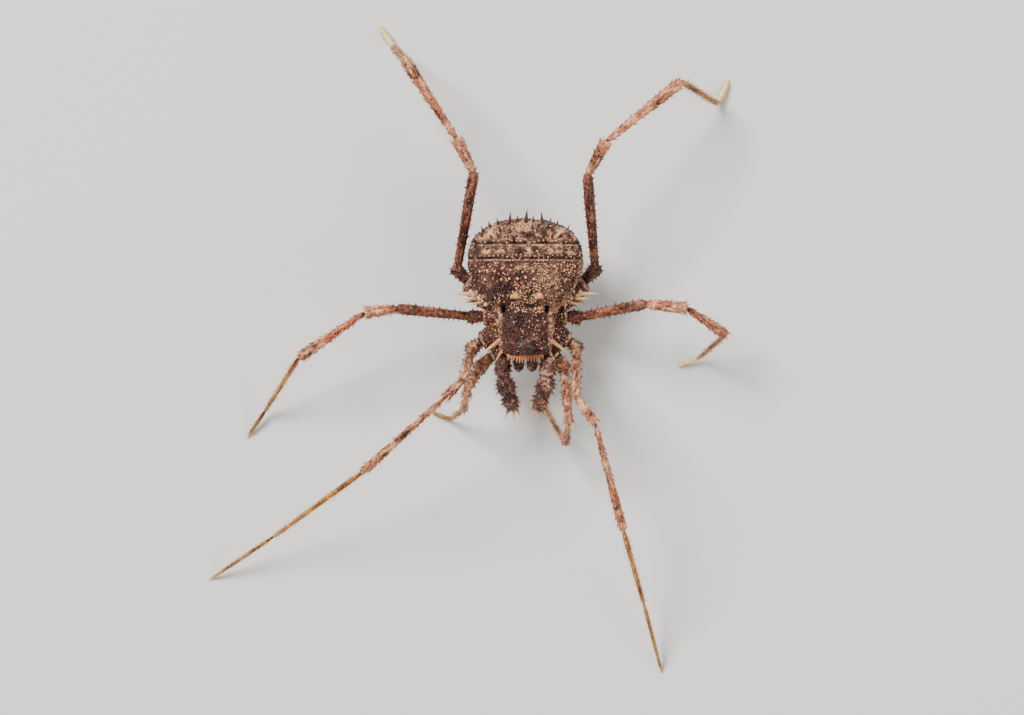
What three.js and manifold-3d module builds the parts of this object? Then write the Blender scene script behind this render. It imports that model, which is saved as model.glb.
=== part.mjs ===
// A short-legged spiny harvestman, life size, standing on its eight feet.
// Millimetres, +Z up. The head points along -Y, and the animal's own left side is +X.
// The origin is on the floor, under the middle of the box round the whole animal.
import * as THREE from "three";
import { mergeVertices } from "three/addons/utils/BufferGeometryUtils.js";
import Module from "manifold-3d";

const wasm = await Module();
wasm.setup();

// Body lengths. Y = 0 is the middle of the back shield.
const FRONT_Y = -2.49;
const REAR_Y = 2.72;
const NECK_Y = -0.62;
const GROOVE_1_Y = 1.2;
const GROOVE_2_Y = 1.77;

// Joints between nodes are parted by this much.
const GAP = 0.12;
const FLOOR_FLAT = 0.02;

// Corners closer than this are made one, so that the skins hold no slivers.
const SLIVER = 0.003;

const BODY_SIDES = 28;
const LIMB_SIDES = 8;
const SPINE_SIDES = 4;

// Outline of the body at stations along Y: half width, top, level of the side edge, and underside.
const BODY_STATIONS = [
  { y: FRONT_Y, half: 0.86, top: 3.18, edge: 2.8, under: 2.35 },
  { y: -2.3, half: 0.96, top: 3.36, edge: 2.82, under: 2.2 },
  { y: -1.9, half: 1.02, top: 3.48, edge: 2.85, under: 2.08 },
  { y: -1.3, half: 1.06, top: 3.58, edge: 2.88, under: 2.0 },
  { y: -0.85, half: 1.16, top: 3.62, edge: 2.9, under: 2.0 },
  { y: NECK_Y, half: 1.3, top: 3.64, edge: 2.92, under: 2.0 },
  { y: -0.3, half: 1.62, top: 3.86, edge: 2.98, under: 2.02 },
  { y: 0.2, half: 1.94, top: 4.14, edge: 3.02, under: 2.04 },
  { y: 0.75, half: 2.15, top: 4.34, edge: 3.06, under: 2.06 },
  { y: GROOVE_1_Y, half: 2.19, top: 4.4, edge: 3.08, under: 2.1 },
  { y: GROOVE_2_Y, half: 2.08, top: 4.26, edge: 3.1, under: 2.22 },
  { y: 2.15, half: 1.83, top: 3.98, edge: 3.1, under: 2.38 },
  { y: 2.45, half: 1.42, top: 3.66, edge: 3.08, under: 2.55 },
  { y: 2.65, half: 0.86, top: 3.36, edge: 3.06, under: 2.75 },
];

// Each leg: the seed of its spines, where its hip socket and hip knob sit, and length, heading and
// pitch of its segments. Heading is in degrees from +X towards +Y, and a pitch above 0 rises.
const LEGS = {
  leg1_left: {
    seed: 1528,
    coxa: [1.18, -2.52, 2.36],
    hip: [1.5, -3.0, 2.16],
    segments: [[2.3, -86, 52], [0.67, -85, -26], [1.74, -98, -61], [1.97, 121, -65], [0.8, 117, -14]],
  },
  leg1_right: {
    seed: 1529,
    coxa: [-1.3, -2.5, 2.36],
    hip: [-1.76, -2.98, 2.16],
    segments: [[2.19, -121, 68], [0.54, -100, -57], [1.78, -101, -70], [1.83, -147, -69], [0.75, 160, -14]],
  },
  leg2_left: {
    seed: 1559,
    coxa: [1.66, -1.94, 2.36],
    hip: [1.96, -2.2, 2.26],
    segments: [[3.8, -92, 61], [1.26, -54, 14], [4.62, -75, -23], [3.77, -74, -39], [3.11, -75, -28.5]],
  },
  leg2_right: {
    seed: 1560,
    coxa: [-1.68, -1.94, 2.36],
    hip: [-2.05, -2.22, 2.26],
    segments: [[3.7, -104, 71], [0.97, -135, 13], [4.65, -138, -23], [4.93, -144, -31], [3.29, -146, -26]],
  },
  leg3_left: {
    seed: 1590,
    coxa: [1.58, -0.98, 2.44],
    hip: [1.96, -1.04, 2.36],
    segments: [[3.1, 11, 32], [1.63, -6, 17], [2.63, -33, -46], [2.52, -137, -60], [0.83, -154, -12]],
  },
  leg3_right: {
    seed: 1591,
    coxa: [-1.6, -0.98, 2.44],
    hip: [-2.02, -1.01, 2.36],
    segments: [[3.1, 174, 24], [1.3, -173, 14], [3.2, -146, -18], [3.47, -124, -45], [1.2, -124, -10]],
  },
  leg4_left: {
    seed: 7,
    coxa: [2.24, 0.36, 2.62],
    hip: [2.66, 0.78, 2.52],
    segments: [[3.94, 95, 25], [1.53, 61, 21], [3.95, 39, -20], [3.44, -27, -62], [0.95, 62, -11]],
  },
  leg4_right: {
    seed: 1622,
    coxa: [-2.2, 0.36, 2.62],
    hip: [-2.6, 0.76, 2.52],
    segments: [[3.98, 80, 21], [1.52, 117, 17], [3.88, 123, -17], [2.99, 129, -78], [0.95, 123, -11]],
  },
};

// Radii of the leg segments from root to tip, and how many pairs of spines each carries.
const SEGMENTS = [
  { name: "femur", radii: [0.22, 0.25, 0.26, 0.25, 0.24], spines: 6 },
  { name: "patella", radii: [0.23, 0.26, 0.27], spines: 2 },
  { name: "tibia", radii: [0.23, 0.22, 0.25, 0.25], spines: 5 },
  { name: "metatarsus", radii: [0.22, 0.21, 0.2], spines: 0 },
  { name: "tarsus", radii: [0.2, 0.17, 0.09], spines: 0 },
];
const HIP_KNOB_RADIUS = 0.29;

// A segment runs past its joint by this share of its radius, where it is this much thinner.
const END_REACH = 0.95;
const END_THINNING = 0.82;

// Distance from a hip socket's centre to the face that its leg meets.
const HIP_FACE = 0.06;
const FOOT_HEIGHT = 0.14;

// The feelers: joint centres of the left one, and per piece its radii and its thorns, each given as
// place along it, side and drop.
const PALP_JOINTS = [
  [0.84, -2.42, 2.46],
  [0.87, -3.28, 3.0],
  [0.63, -4.0, 2.68],
  [0.49, -4.54, 2.14],
];
const PALP_PARTS = [
  { name: "femur", radii: [0.26, 0.3, 0.31, 0.3], spines: [[0.6, 1, -0.3], [0.3, 1, -0.9]] },
  {
    name: "tibia",
    radii: [0.3, 0.33, 0.34, 0.31],
    spines: [[0.3, -1, -0.3], [0.7, -1, -0.4], [0.6, 1, -0.2]],
  },
  {
    name: "foot",
    radii: [0.29, 0.28, 0.24, 0.15],
    spines: [[0.45, -1, -0.2], [0.5, 1, -0.2], [0.9, -0.6, -0.5]],
  },
];

// Pale spines of the hind hips: place across and along the body, and length.
const HIND_HIP_BLADES = [[1.74, -0.3, 0.92], [1.6, -0.46, 0.6], [1.98, -0.1, 0.5]];

const MOUND = { centre: [0, -2.14, 3.48], radius: 0.33 };
const EYE = { place: [0.21, -2.18, 3.64], radius: 0.11 };

const LOOKS = {
  back: { color: 0x5a3f36, roughness: 0.75 },
  head: { color: 0x4a342f, roughness: 0.75 },
  leg: { color: 0x6b3a30, roughness: 0.6 },
  foot: { color: 0xa0714a, roughness: 0.6 },
  palp: { color: 0x43302d, roughness: 0.5 },
  eye: { color: 0x0d0b0b, roughness: 0.15 },
};

const vec = (x, y, z) => new THREE.Vector3(x, y, z);

// A closed three.js geometry as a solid.
function solid(geometry) {
  const bare = geometry.clone();
  bare.deleteAttribute("normal");
  bare.deleteAttribute("uv");
  const merged = mergeVertices(bare, 1e-4);
  return new wasm.Manifold(
    new wasm.Mesh({
      numProp: 3,
      vertProperties: merged.attributes.position.array,
      triVerts: new Uint32Array(merged.index.array),
    }),
  );
}

// Joins rings of points, each with the same count, into a closed skin with a fan at both ends.
function skinRings(rings) {
  const count = rings[0].length;
  const points = rings.flat();
  const middle = (ring) => ring.reduce((sum, p) => sum.add(p), vec(0, 0, 0)).divideScalar(count);
  const first = points.push(middle(rings[0])) - 1;
  const last = points.push(middle(rings.at(-1))) - 1;
  const faces = [];
  for (let side = 0; side < count; side++) {
    const next = (side + 1) % count;
    for (let ring = 0; ring + 1 < rings.length; ring++) {
      const a = ring * count;
      const b = a + count;
      faces.push(a + side, a + next, b + next, a + side, b + next, b + side);
    }
    const end = (rings.length - 1) * count;
    faces.push(first, next, side, last, end + side, end + next);
  }
  const geometry = new THREE.BufferGeometry();
  geometry.setAttribute("position", new THREE.Float32BufferAttribute(points.flatMap((p) => p.toArray()), 3));
  geometry.setIndex(faces);
  const made = solid(geometry);
  return made.volume() < 0 ? solid(flipped(geometry)) : made;
}

function flipped(geometry) {
  const turned = geometry.clone();
  turned.setIndex(Array.from(geometry.index.array).reverse());
  return turned;
}

// A round limb along a curve. Its radius runs through the given list from root to tip.
function limb(curve, radii, steps, sides = LIMB_SIDES) {
  return skinRings(limbRings(curve, radii, steps, sides));
}

function limbRings(curve, radii, steps, sides) {
  const frames = curve.computeFrenetFrames(steps, false);
  const rings = [];
  for (let i = 0; i <= steps; i++) {
    const t = i / steps;
    const radius = along(radii, t);
    const centre = curve.getPointAt(t);
    const ring = [];
    for (let side = 0; side < sides; side++) {
      const angle = (2 * Math.PI * side) / sides;
      ring.push(
        centre
          .clone()
          .addScaledVector(frames.normals[i], radius * Math.cos(angle))
          .addScaledVector(frames.binormals[i], radius * Math.sin(angle)),
      );
    }
    rings.push(ring);
  }
  return rings;
}

// The value at t, from 0 to 1, of a list read as evenly spaced steps.
function along(list, t) {
  const place = t * (list.length - 1);
  const step = Math.min(Math.floor(place), list.length - 2);
  return THREE.MathUtils.lerp(list[step], list[step + 1], place - step);
}

function ball(centre, radius, segments = 8) {
  const geometry = new THREE.SphereGeometry(radius, segments, Math.round(segments * 0.7));
  geometry.translate(centre.x, centre.y, centre.z);
  return solid(geometry);
}

// A spine with its root sunk below the point it grows from.
function spine(root, direction, length, radius, sunk = 0.14, sides = SPINE_SIDES) {
  const geometry = new THREE.ConeGeometry(radius, length + sunk, sides);
  geometry.translate(0, (length + sunk) / 2 - sunk, 0);
  const turn = new THREE.Quaternion().setFromUnitVectors(vec(0, 1, 0), direction.clone().normalize());
  geometry.applyQuaternion(turn);
  geometry.translate(root.x, root.y, root.z);
  return solid(geometry);
}

// Keeps what lies on the far side of a plane, seen from the side that its normal leaves.
function cutBehind(body, point, normal) {
  const size = 60;
  const geometry = new THREE.BoxGeometry(size, size, size);
  const turn = new THREE.Quaternion().setFromUnitVectors(vec(0, 1, 0), normal.clone().normalize());
  geometry.translate(0, -size / 2, 0);
  geometry.applyQuaternion(turn);
  geometry.translate(point.x, point.y, point.z);
  return body.subtract(solid(geometry));
}

const join = (bodies) => bodies.reduce((whole, body) => whole.add(body));

// Only the largest closed surface, so that no scrap of a cut is left loose.
function largest(body) {
  return body.decompose().reduce((best, piece) => (piece.volume() > best.volume() ? piece : best));
}

// A small repeatable random draw.
function seeded(seed) {
  let state = seed;
  return () => {
    state = (state * 1664525 + 1013904223) % 4294967296;
    return state / 4294967296;
  };
}

// Size and levels of the body at a place along Y.
function bodyAt(y) {
  const next = BODY_STATIONS.findIndex((station) => station.y >= y);
  if (next === 0) return BODY_STATIONS[0];
  if (next < 0) return BODY_STATIONS.at(-1);
  const [a, b] = [BODY_STATIONS[next - 1], BODY_STATIONS[next]];
  const t = (y - a.y) / (b.y - a.y);
  const mix = (key) => THREE.MathUtils.lerp(a[key], b[key], t);
  return { y, half: mix("half"), top: mix("top"), edge: mix("edge"), under: mix("under") };
}

// A point on the back at x across and y along, with the direction that leaves the surface there.
function onBack(x, y) {
  const height = (px, py) => {
    const place = bodyAt(py);
    const share = Math.min(Math.abs(px) / place.half, 0.999);
    return place.edge + (place.top - place.edge) * Math.pow(1 - share ** 2.4, 0.5);
  };
  const step = 0.02;
  const z = height(x, y);
  const slopeX = (height(x + step, y) - height(x - step, y)) / (2 * step);
  const slopeY = (height(x, y + step) - height(x, y - step)) / (2 * step);
  return { point: vec(x, y, z), normal: vec(-slopeX, -slopeY, 1).normalize() };
}

// One ring of the body, grown outwards by a clearance where that is asked for.
function bodyRing(station, grow = 0) {
  const ring = [];
  for (let side = 0; side < BODY_SIDES; side++) {
    const angle = (2 * Math.PI * side) / BODY_SIDES;
    const c = Math.cos(angle);
    const s = Math.sin(angle);
    const across = Math.sign(c) * Math.pow(Math.abs(c), 0.8333);
    const upper = s >= 0;
    const height = upper ? station.top - station.edge : station.edge - station.under;
    ring.push(
      vec(
        across * (station.half + grow),
        station.y,
        station.edge + Math.sign(s) * Math.abs(s) * (height + grow),
      ),
    );
  }
  return ring;
}

function bodySolid(grow = 0) {
  const rings = BODY_STATIONS.map((station) => bodyRing(station, grow));
  const tip = { ...BODY_STATIONS.at(-1) };
  tip.y = REAR_Y + grow;
  tip.half *= 0.45;
  tip.top = THREE.MathUtils.lerp(tip.edge, tip.top, 0.45);
  tip.under = THREE.MathUtils.lerp(tip.edge, tip.under, 0.45);
  rings.push(bodyRing(tip, grow));
  return skinRings(rings);
}

// The three hip sockets of a side, which are one with the underside of the head shield.
function coxaLobe(place, root, rootRadius, tipRadius) {
  const end = vec(...place);
  const curve = new THREE.LineCurve3(root, end.clone().lerp(root, -0.12));
  return limb(curve, [rootRadius, rootRadius * 0.96, tipRadius * 1.05, tipRadius], 3, 10);
}

function frontComb() {
  const teeth = [];
  const count = 13;
  const halfWidth = 0.67;
  for (let i = 0; i < count; i++) {
    const share = (2 * i) / (count - 1) - 1;
    const x = halfWidth * share;
    const root = vec(x, FRONT_Y + 0.04, 2.98 - 0.06 * share * share);
    const length = 0.32 - 0.05 * Math.abs(share) + 0.03 * (i % 2);
    teeth.push(spine(root, vec(0.12 * share, -1, -0.12), length, 0.07));
  }
  return teeth;
}

// The pale blades over the roots of the first legs, and the edge teeth of the head shield.
function headSpines() {
  const spines = [];
  for (const side of [-1, 1]) {
    spines.push(spine(vec(side * 1.04, -1.96, 2.92), vec(side * 0.8, -0.6, -0.08), 0.76, 0.13, 0.2));
    spines.push(spine(vec(side * 0.92, -2.36, 2.84), vec(side * 0.5, -0.8, -0.2), 0.42, 0.09, 0.2));
    for (let i = 0; i < 5; i++) {
      const y = -2.0 + 0.3 * i;
      const place = onBack(side * 0.86, y);
      spines.push(spine(place.point, vec(side * 0.5, 0, 1), 0.14, 0.09));
    }
  }
  return spines;
}

// A row of tubercles across the back, longest in the middle.
function backRow({ y, count, reach, length, radius, lean, peak = 0 }) {
  const draw = seeded(Math.round(1000 + y * 100));
  const spines = [];
  for (let i = 0; i < count; i++) {
    const share = count === 1 ? 0 : (2 * i) / (count - 1) - 1;
    const place = onBack(share * reach * bodyAt(y).half, y);
    const direction = place.normal.clone().add(vec(share * 0.3, lean, 0));
    const extent = length * (0.85 + 0.3 * draw()) + peak * (1 - share * share) * (i % 2);
    spines.push(spine(place.point, direction, extent, radius));
  }
  return spines;
}

function scutumSpines() {
  return [
    ...backRow({ y: 0.98, count: 13, reach: 0.84, length: 0.12, radius: 0.09, lean: 0.3 }),
    ...backRow({ y: 0.42, count: 9, reach: 0.7, length: 0.11, radius: 0.1, lean: 0.1 }),
    ...backRow({ y: -0.21, count: 2, reach: 0.27, length: 0.22, radius: 0.16, lean: 0 }),
    ...backRow({ y: -0.3, count: 6, reach: 0.78, length: 0.1, radius: 0.09, lean: 0 }),
  ];
}

function firstTergiteSpines() {
  return backRow({ y: 1.5, count: 13, reach: 0.84, length: 0.17, radius: 0.09, lean: 0.5, peak: 0.05 });
}

function rearSpines() {
  return [
    ...backRow({ y: 2.02, count: 11, reach: 0.8, length: 0.24, radius: 0.085, lean: 0.9, peak: 0.14 }),
    ...backRow({ y: 2.4, count: 9, reach: 0.7, length: 0.26, radius: 0.085, lean: 1.1, peak: 0.2 }),
    ...backRow({ y: 2.62, count: 3, reach: 0.66, length: 0.28, radius: 0.08, lean: 1.6, peak: 0.1 }),
  ];
}

// The head shield with the hips of the first three pairs of legs, and the shield behind it.
function buildBody() {
  const whole = bodySolid();
  const lobes = [];
  for (const side of ["left", "right"]) {
    const sign = side === "left" ? 1 : -1;
    lobes.push(coxaLobe(LEGS[`leg1_${side}`].coxa, vec(sign * 0.35, -1.9, 2.42), 0.42, 0.29));
    lobes.push(coxaLobe(LEGS[`leg2_${side}`].coxa, vec(sign * 0.4, -1.3, 2.46), 0.5, 0.31));
    lobes.push(coxaLobe(LEGS[`leg3_${side}`].coxa, vec(sign * 0.4, -0.98, 2.46), 0.48, 0.31));
  }
  const rearward = vec(0, 1, 0);
  const forward = vec(0, -1, 0);
  let head = cutBehind(whole, vec(0, NECK_Y - GAP / 2, 0), forward);
  head = join([head, ...lobes, ...frontComb(), ...headSpines()]);
  for (const leg of ["leg1", "leg2", "leg3"]) {
    for (const side of ["left", "right"]) head = cutAtHip(head, LEGS[`${leg}_${side}`]);
  }
  head = cutBehind(head, vec(0, NECK_Y - GAP / 2, 0), forward);
  const between = (low, high, spines) => {
    let part = join([whole, ...spines]);
    part = cutBehind(part, vec(0, low + GAP / 2, 0), rearward);
    return high === null ? part : cutBehind(part, vec(0, high - GAP / 2, 0), forward);
  };
  return {
    head_shield: largest(head),
    back_shield: largest(between(NECK_Y, GROOVE_1_Y, scutumSpines())),
    back_plate_1: largest(between(GROOVE_1_Y, GROOVE_2_Y, firstTergiteSpines())),
    back_plate_2: largest(between(GROOVE_2_Y, null, rearSpines())),
  };
}

// Which way a hip joint faces, from the body outwards.
function hipAxis(leg) {
  return vec(...leg.hip).sub(vec(...leg.coxa)).normalize();
}

function cutAtHip(body, leg) {
  const axis = hipAxis(leg);
  const centre = vec(...leg.coxa).addScaledVector(axis, HIP_FACE);
  const reach = 0.62;
  const plug = new THREE.CylinderGeometry(reach, reach, 0.7, 16);
  plug.translate(0, 0.35, 0);
  plug.applyQuaternion(new THREE.Quaternion().setFromUnitVectors(vec(0, 1, 0), axis));
  plug.translate(centre.x, centre.y, centre.z);
  return body.subtract(solid(plug));
}

// The hind hips lie along the flanks of the back shield and carry pale spines.
function buildHindHip(side, shields) {
  const sign = side === "left" ? 1 : -1;
  const leg = LEGS[`leg4_${side}`];
  const curve = new THREE.QuadraticBezierCurve3(
    vec(sign * 0.95, -0.62, 2.44),
    vec(sign * 1.75, -0.3, 2.56),
    vec(...leg.coxa),
  );
  const lobe = limb(curve, [0.36, 0.5, 0.46, 0.36, 0.33], 7, 12);
  const spines = [];
  for (const [x, y, length] of HIND_HIP_BLADES) {
    const direction = vec(sign, 0.12 - 0.3 * (HIND_HIP_BLADES[0][2] - length), 0.18);
    spines.push(spine(vec(sign * x, y, 2.86), direction, length, 0.14, 0.3));
  }
  for (let i = 0; i < 3; i++) {
    const root = vec(sign * (2.0 + 0.14 * i), 0.12 + 0.14 * i, 2.86);
    spines.push(spine(root, vec(sign * 0.7, 0.1, 0.9), 0.2, 0.09));
  }
  let hip = join([lobe, ...spines]);
  hip = cutAtHip(hip, leg);
  return largest(hip.subtract(shields));
}

function stepFrom(point, [length, heading, pitch]) {
  const h = THREE.MathUtils.degToRad(heading);
  const p = THREE.MathUtils.degToRad(pitch);
  return point.clone().add(
    vec(length * Math.cos(p) * Math.cos(h), length * Math.cos(p) * Math.sin(h), length * Math.sin(p)),
  );
}

// Joint centres of a leg, from the hip knob to the claw. The foot ends at its own height.
function legJoints(leg) {
  const joints = [vec(...leg.hip)];
  for (const segment of leg.segments) joints.push(stepFrom(joints.at(-1), segment));
  joints.at(-1).z = FOOT_HEIGHT;
  return joints;
}

// Spines in pairs along a segment, leaning towards its tip.
function segmentSpines(start, end, radii, pairs, draw) {
  const direction = end.clone().sub(start).normalize();
  const side = new THREE.Vector3().crossVectors(direction, vec(0, 0, 1)).normalize();
  const up = new THREE.Vector3().crossVectors(side, direction);
  const spines = [];
  for (let i = 0; i < pairs; i++) {
    for (const hand of [-1, 1]) {
      const t = (i + 0.75 + 0.25 * hand) / (pairs + 0.5);
      const out = side.clone().multiplyScalar(hand).addScaledVector(up, 0.55 * (draw() - 0.2)).normalize();
      const root = start.clone().lerp(end, t).addScaledVector(out, along(radii, t) * 0.86);
      spines.push(spine(root, out.addScaledVector(direction, 0.5), 0.16 + 0.06 * draw(), 0.07, 0.1, 3));
    }
  }
  return spines;
}

// Plane between two neighbouring segments, halving the bend.
function bendNormal(before, joint, after) {
  const into = joint.clone().sub(before).normalize();
  const out = after.clone().sub(joint).normalize();
  return into.add(out).normalize();
}

// One segment of a leg between two joints, with its spines and with both its ends parted off.
function buildSegment(leg, joints, index, draw) {
  const { radii, spines } = SEGMENTS[index];
  const isFoot = index === SEGMENTS.length - 1;
  const start = joints[index];
  const end = joints[index + 1];
  const tube = tubePast(start, end, radii, {
    before: index > 0 ? radii[0] * END_REACH : 0,
    after: isFoot ? 0 : radii.at(-1) * END_REACH,
    bow: index === 0 ? 0.16 : 0,
  });
  const pieces = [tube, ...segmentSpines(start, end, radii, spines, draw)];
  if (index === 0) pieces.push(ball(start, HIP_KNOB_RADIUS), hipStub(leg));
  let part = join(pieces);
  if (index > 0) {
    part = partAt(part, start, bendNormal(joints[index - 1], start, end));
  } else {
    const axis = hipAxis(leg);
    part = cutBehind(part, vec(...leg.coxa).addScaledVector(axis, HIP_FACE + GAP), axis);
  }
  if (!isFoot) part = partAt(part, end, bendNormal(start, end, joints[index + 2]).negate());
  if (index >= 3) part = cutBehind(part, vec(0, 0, FLOOR_FLAT), vec(0, 0, 1));
  return largest(part);
}

// Half of the gap of a joint is taken from each of the two segments that meet there.
function partAt(body, joint, normal) {
  return cutBehind(body, joint.clone().addScaledVector(normal, GAP / 2), normal);
}

// A tube that runs on past one or both of its joints, a little thinner there.
function tubePast(start, end, radii, { before, after, bow = 0, sides = LIMB_SIDES }) {
  const direction = end.clone().sub(start).normalize();
  const middle = start.clone().lerp(end, 0.5).add(vec(0, 0, bow));
  const curve = new THREE.QuadraticBezierCurve3(start, middle, end);
  const steps = radii.length - 1;
  const rings = limbRings(curve, radii, steps, sides);
  const moved = (ring, centre, reach) =>
    ring.map((p) => centre.clone().lerp(p, END_THINNING).addScaledVector(direction, reach));
  if (before > 0) rings.unshift(moved(rings[0], start, -before));
  if (after > 0) rings.push(moved(rings.at(-1), end, after));
  return skinRings(rings);
}

// The short neck between the hip socket and the hip knob.
function hipStub(leg) {
  const curve = new THREE.LineCurve3(vec(...leg.coxa), vec(...leg.hip));
  return limb(curve, [0.25, 0.25], 1);
}

// Feelers beside the mouth: a thigh piece, a spiny shin and a claw-tipped foot on each side.
function palpParts(side, clear) {
  const sign = side === "left" ? 1 : -1;
  const joints = PALP_JOINTS.map(([x, y, z]) => vec(sign * x, y, z));
  return PALP_PARTS.map(({ name, radii, spines }, index) => {
    const start = joints[index];
    const end = joints[index + 1];
    const direction = end.clone().sub(start).normalize();
    const across = new THREE.Vector3().crossVectors(direction, vec(0, 0, 1)).normalize();
    const isFoot = index === PALP_PARTS.length - 1;
    const pieces = [
      tubePast(start, end, radii, {
        before: radii[0] * END_REACH,
        after: isFoot ? 0 : radii.at(-1) * END_REACH,
      }),
    ];
    for (const [t, hand, drop] of spines) {
      const out = across.clone().multiplyScalar(-sign * hand).add(vec(0, 0, drop)).normalize();
      const root = start.clone().lerp(end, t).addScaledVector(out, along(radii, t) * 0.8);
      const lean = isFoot ? 1.6 : 0.7;
      pieces.push(spine(root, out.clone().addScaledVector(direction, lean), 0.34, 0.08, 0.12));
    }
    let part = join(pieces);
    if (index > 0) part = partAt(part, start, bendNormal(joints[index - 1], start, end));
    if (!isFoot) part = partAt(part, end, bendNormal(start, end, joints[index + 2]).negate());
    return { name, part: largest(index === 0 ? part.subtract(clear) : part) };
  });
}

// The short pincers under the comb: a stout base that bends down into two fingers.
function buildPincer(side, clear) {
  const sign = side === "left" ? 1 : -1;
  const elbow = vec(sign * 0.27, -2.86, 2.66);
  const base = limb(new THREE.LineCurve3(vec(sign * 0.25, -2.3, 2.62), elbow), [0.2, 0.22, 0.22], 3);
  const wrist = vec(sign * 0.25, -2.94, 2.1);
  const hand = limb(new THREE.LineCurve3(elbow, wrist), [0.22, 0.2, 0.16], 3);
  const finger = (lean) => {
    const root = wrist.clone().add(vec(0, 0.06 * lean, 0.04));
    return spine(root, vec(0, 0.35 * lean, -1), 0.34, 0.12, 0.1);
  };
  const whole = join([base, ball(elbow, 0.23), hand, finger(1), finger(-1)]);
  return largest(whole.subtract(clear));
}

// The eye mound with a socket on each side, and the eyes in the sockets.
function buildEyeMound(clear) {
  let mound = ball(vec(...MOUND.centre), MOUND.radius, 10);
  mound = mound.add(spine(vec(0, -2.24, 3.76), vec(0, -0.35, 1), 0.2, 0.08));
  mound = mound.subtract(clear);
  const eyes = {};
  for (const side of ["left", "right"]) {
    const place = vec(...EYE.place);
    if (side === "right") place.x *= -1;
    eyes[`eye_${side}`] = ball(place, EYE.radius);
    mound = mound.subtract(ball(place, EYE.radius + GAP / 2));
  }
  return { eye_mound: largest(mound), ...eyes };
}

// The skin of a solid, with corners that lie all but on one another made one.
function skinOf(body) {
  const made = body.getMesh();
  const geometry = new THREE.BufferGeometry();
  geometry.setAttribute("position", new THREE.BufferAttribute(new Float32Array(made.vertProperties), 3));
  geometry.setIndex(new THREE.BufferAttribute(new Uint32Array(made.triVerts), 1));
  const welded = mergeVertices(geometry, SLIVER);
  const corners = welded.index.array;
  const kept = [];
  for (let i = 0; i < corners.length; i += 3) {
    const [a, b, c] = corners.subarray(i, i + 3);
    if (a !== b && b !== c && c !== a) kept.push(a, b, c);
  }
  welded.setIndex(kept);
  return welded;
}

// A solid as a named mesh in its own colours.
function meshOf(name, body, look) {
  const geometry = skinOf(body);
  geometry.computeVertexNormals();
  const mesh = new THREE.Mesh(geometry, new THREE.MeshStandardMaterial({ ...LOOKS[look], metalness: 0 }));
  mesh.name = name;
  return mesh;
}

// A solid moved a little each way, so that what is cut by all of these keeps the gap to it.
function shifted(body) {
  const ways = [[0, 0, 0], [1, 0, 0], [-1, 0, 0], [0, -1, 0], [0, 1, 0], [0, 0, -1], [0, 0, 1]];
  return ways.map((way) => body.translate(way.map((share) => share * GAP)));
}

function buildHarvestman() {
  const animal = new THREE.Group();
  const plates = buildBody();
  for (const [name, body] of Object.entries(plates)) {
    animal.add(meshOf(name, body, name === "head_shield" ? "head" : "back"));
  }
  const clear = join([bodySolid(GAP), ...shifted(plates.head_shield)]);
  for (const [name, body] of Object.entries(buildEyeMound(bodySolid(GAP)))) {
    animal.add(meshOf(name, body, name === "eye_mound" ? "head" : "eye"));
  }
  for (const side of ["left", "right"]) {
    animal.add(meshOf(`hip4_${side}`, buildHindHip(side, clear), "back"));
    animal.add(meshOf(`pincer_${side}`, buildPincer(side, clear), "palp"));
    for (const { name, part } of palpParts(side, clear)) {
      animal.add(meshOf(`palp_${side}_${name}`, part, "palp"));
    }
  }
  for (const [name, leg] of Object.entries(LEGS)) {
    const draw = seeded(leg.seed);
    const joints = legJoints(leg);
    SEGMENTS.forEach((segment, index) => {
      const look = index >= 3 ? "foot" : "leg";
      animal.add(meshOf(`${name}_${segment.name}`, buildSegment(leg, joints, index, draw), look));
    });
  }
  const box = new THREE.Box3().setFromObject(animal, true);
  animal.position.set(-(box.min.x + box.max.x) / 2, -(box.min.y + box.max.y) / 2, -box.min.z);
  return animal;
}

export default buildHarvestman();
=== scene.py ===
"""Looks of a life-size still model of a short-legged, spiny harvestman.

Sizes are in millimetres on the bench, in the body's own frame, whose zero lies in the middle of the
back shield. A settled piece is in metres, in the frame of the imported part. The head points along -Y,
+Z is up, and the animal's own left side is +X.
"""
import logging
import math
from contextlib import contextmanager
from dataclasses import dataclass, field, replace
from enum import Enum
from typing import Callable, Iterator, Optional, Sequence, Union

import bmesh
import bpy
import numpy as np
from mathutils import Matrix, Vector, noise
from mathutils.bvhtree import BVHTree


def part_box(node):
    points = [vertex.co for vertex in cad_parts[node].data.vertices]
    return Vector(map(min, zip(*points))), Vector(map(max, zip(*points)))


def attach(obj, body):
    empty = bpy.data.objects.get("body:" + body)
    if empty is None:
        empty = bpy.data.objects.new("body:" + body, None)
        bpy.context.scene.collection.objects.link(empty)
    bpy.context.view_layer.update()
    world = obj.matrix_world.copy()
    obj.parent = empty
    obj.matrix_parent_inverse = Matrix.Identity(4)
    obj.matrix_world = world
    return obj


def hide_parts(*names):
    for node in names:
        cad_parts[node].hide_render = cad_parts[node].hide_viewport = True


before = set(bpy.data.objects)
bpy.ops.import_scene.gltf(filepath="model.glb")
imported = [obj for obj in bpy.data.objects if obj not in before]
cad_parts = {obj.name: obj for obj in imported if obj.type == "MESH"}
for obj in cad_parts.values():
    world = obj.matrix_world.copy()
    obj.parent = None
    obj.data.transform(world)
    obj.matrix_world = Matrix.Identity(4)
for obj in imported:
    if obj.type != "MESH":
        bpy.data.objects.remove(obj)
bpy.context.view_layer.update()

LOG = logging.getLogger("harvestman")
MM = 0.001
UP = Vector((0.0, 0.0, 1.0))
BAKE_UV = "OFBake"
# The width of a copy's patch on the bake map, and the largest error of a place, in millimetres.
PATCH = 0.003
CLOSE = 1e-4

Colour = tuple[float, float, float]
Point = tuple[float, float, float]
Socket = bpy.types.NodeSocket
Value = Union[Socket, float, Colour]
Form = tuple[np.ndarray, list[tuple[int, ...]]]


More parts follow.
